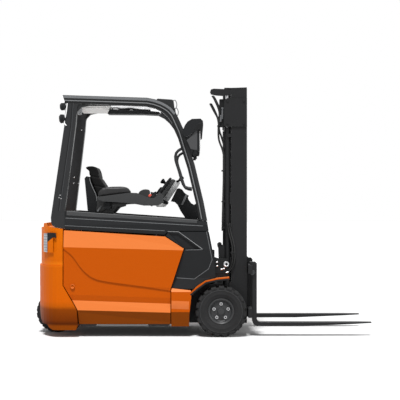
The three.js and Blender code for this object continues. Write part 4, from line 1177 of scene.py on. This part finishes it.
def build_back_hoses():
    """Four hoses behind the mast's right-hand rail, and the ties that hold them."""
    guide = bmesh.new()
    for y, lead in ((-306, 0), (-284, 10)):
        outer = [(-76 + lead, 2166), (-52 + lead, 2125), (-14 + lead, 2030), (-14, 1950), (-20, 1854),
                 (-14, 1763), (20, 1666), (30, 1560), (22, 1200), (16, 940)]
        inner = [(-96 + lead, 2098), (-62 + lead, 2032), (-24, 1957), (-10, 1850), (10, 1790), (34, 1690),
                 (36, 1500)]
        add_tube(guide, in_plane(y, outer), HOSE_RADIUS, steps=70)
        add_tube(guide, in_plane(y + 24, inner), HOSE_RADIUS, steps=50)
    finish_piece("back_hose_group", guide, "hose_rubber", "mast_outer", replaced=("back_hoses",))
    ties = bmesh.new()
    for z in (1480, 1200, 960):
        add_box(ties, (8, -318, z), (40, -250, z + 12))
    add_box(ties, (-30, -318, 1888), (-4, -250, 1900))
    add_box(ties, (-30, -300, 1880), (60, -290, 1892))
    finish_piece("back_hose_ties", ties, "frame_paint", "mast_outer", bevel=1.5)


def build_mast_head():
    """The hoses' cover and fittings, the plates on the rails' tops and the bolts below them."""
    # The hoses' cover in the darkest grey: painted shade.
    outline = rounded_outline([(-14, 1890), (-12, 2136), (52, 2138), (52, 1884)], 8)
    panel_piece("hose_head_cover", outline, -304, -292, "frame_paint", "mast_outer", bevel=2,
                look="guard_painted_shade")
    ends = bmesh.new()
    # The fitting ends in a lighter grey: a painted highlight on the hose ends.
    for x, low_z, high_z in ((18, 1955, 2060), (4, 1930, 1990)):
        add_rod(ends, at(x - 4, -312, low_z), at(x, -312, high_z), HOSE_RADIUS, 16)
        add_rod(ends, at(x - 1, -312, high_z - 16), at(x, -312, high_z), 0.0115, 6)
    finish_piece("hose_head_fittings", ends, "hose_rubber", "mast_outer", bevel=0.8, look="guard_painted_highlight")
    cap = bmesh.new()
    for side in (-1, 1):
        add_panel(cap, [(62, 2228), (237, 2228), (237, 2241), (62, 2235)], side * 329, side * 309)
    finish_piece("mast_head_plates", cap, "mast_paint", "mast_outer", bevel=1.5)
    bolts = bmesh.new()
    for x, z in ((62, 2116), (210, 2116), (62, 1912), (210, 1912)):
        add_bolt(bolts, at(x, -342, z), (0, -1, 0))
        add_bolt(bolts, at(x, 342, z), (0, 1, 0))
    finish_piece("hook_plate_bolts", bolts, "mast_paint", "mast_outer", bevel=0.6)


def build_valve():
    """A box low on the mast's back, with a hose over its top and one from its foot."""
    outline = rounded_outline([(-18, 690), (-22, 800), (-12, 826), (6, 818), (72, 790), (76, 690)], 8)
    panel_piece("valve_box", outline, -300, -232, "mast_paint", "mast_outer", bevel=3)
    hooks = bmesh.new()
    upper = in_plane(-306, [(-20, 790), (-24, 822), (-8, 832), (8, 822)])
    lower = in_plane(-306, [(-6, 700), (-2, 650), (30, 620), (74, 610)])
    add_tube(hooks, upper, 0.007, sides=12, steps=20)
    add_tube(hooks, lower, 0.008, sides=12, steps=24)
    finish_piece("valve_hoses", hooks, "hose_rubber", "mast_outer")


def build_hose_bay():
    """What shows between the cowl and the mast: blocks and a plate darkened with painted shade, and bright
    fittings.
    """
    back = bmesh.new()
    add_box(back, (-150, -130, 560), (-52, -60, 760))
    add_box(back, (-128, 60, 430), (-60, 130, 700))
    finish_piece("front_bulkhead", back, "frame_paint", bevel=4, look="guard_painted_shade")
    plate = bmesh.new()
    sheet = [(-112, 498), (-112, 712), (-60, 712), (-28, 700), (58, 694), (64, 522), (-34, 512)]
    pad = [(-92, 560), (-92, 690), (40, 680), (46, 560)]
    add_panel(plate, rounded_outline(sheet, 8), -456, -444)
    add_panel(plate, rounded_outline(pad, 8), -459, -455)
    finish_piece("hose_bay_plate", plate, "frame_paint", bevel=2, look="guard_painted_shade")
    steel = bmesh.new()
    ring = [(0.012, 0), (0.024, 0), (0.027, 0.006), (0.022, 0.012), (0.012, 0.009)]
    add_turned(steel, ring, at(46, -460, 646), (0.3, -1, 0), segments=28, closed=True)
    for x, z, length in ((56, 573, 26), (-36, 664, 16), (-34, 630, 14), (6, 600, 18), (26, 606, 14)):
        add_rod(steel, at(x - length / 2, -463, z - 3), at(x + length / 2, -463, z + 4), 0.006, 14)
        add_rod(steel, at(x - 3, -463, z - 1), at(x + 6, -463, z + 2), 0.0085, 6)
    finish_piece("hose_bay_fittings", steel, "bright_steel", bevel=0.8)


def build_lift_chains():
    """Leaf chains, whose links have three plates and four by turns."""
    x, top, anchor, pitch, links = 200, 2132, 606, 19.05, 80
    for side, word in SIDES:
        shape = bmesh.new()
        y = side * 100
        for k in range(links):
            z = top - pitch * k
            low_z, high_z = z - pitch * 0.78, z + pitch * 0.28
            for offset in ((-9, -5, 5, 9) if k % 2 else (-7, 0, 7)):
                add_box(shape, (x - 6, y + offset - 0.9, low_z), (x + 6, y + offset + 0.9, high_z))
        add_box(shape, (x - 7, y - 11, anchor), (x + 7, y + 11, anchor + 22))
        chain_piece = finish_piece("leaf_chain_" + word, shape, "bright_steel", "carriage",
                                   replaced=("lift_chain_" + word,), look="chain_steel")
        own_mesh(chain_piece)


def build_carriage_trim():
    hook = rounded_outline([(264, 552), (270, 594), (300, 592), (302, 560), (284, 545)], 8)
    lug = [(250, 634), (252, 641), (275, 641), (275, 633)]
    for side, word in SIDES:
        latch = bmesh.new()
        for outline in (hook, lug):
            add_panel(latch, outline, side * 446, side * 462)
        finish_piece("fork_latch_" + word, latch, "mast_paint", "carriage", bevel=2, look="guard_mid")


def build_mast_rollers():
    for side, word in SIDES:
        shape = bmesh.new()
        roller = [(0, 0.058), (0.026, 0.058), (0.034, 0.052), (0.034, 0.006), (0.026, 0.0), (0, 0.0)]
        for z in (214, 640):
            add_turned(shape, roller, at(166, side * 189, z), (0, side, 0), segments=40)
        name = "carriage_rollers_" + word
        finish_piece(name, shape, "bright_steel", "carriage", look="chain_steel", sharp=40)


def build_underbody():
    shape = bmesh.new()
    for low_x, high_x in ((-1262, -1100), (-660, -448)):
        rail = [(low_x, 122), (high_x, 122), (high_x - 14, 98), (low_x + 14, 98)]
        add_panel(shape, rounded_outline(rail, 6), -500, -440)
    add_box(shape, (-1100, -470, 108), (-660, -440, 122))
    finish_piece("underbody_rails", shape, "frame_paint", bevel=2)
    mat = bmesh.new()
    for x in range(-560, -345, 18):
        add_box(mat, (x, -430, 692), (x + 9, 430, 697))
    finish_piece("floor_mat_ribs", mat, "tyre_rubber", bevel=1)
    bolts = bmesh.new()
    near_side = [(x, -guard_side_y(z), z, 0.006) for x, z in ((-1434, 1262), (-1443, 1240), (-1426, 1232))]
    far_side = [(x, guard_side_y(z) - 70.5, z, 0.007)
                for x, z in ((-1405, 1440), (-1362, 1382), (-1410, 1385), (-1330, 1900))]
    for x, y, z, radius in near_side + far_side:
        head = [(radius, 0), (radius, 0.002), (0.004, 0.005), (0, 0.0055)]
        add_turned(bolts, head, at(x, y, z), (0, -1, 0), segments=16)
    finish_piece("guard_bolts", bolts, "bright_steel")


build_side_hoses()
build_back_hoses()
build_mast_head()
build_valve()
build_hose_bay()
build_lift_chains()
build_mast_rollers()
build_carriage_trim()
build_underbody()
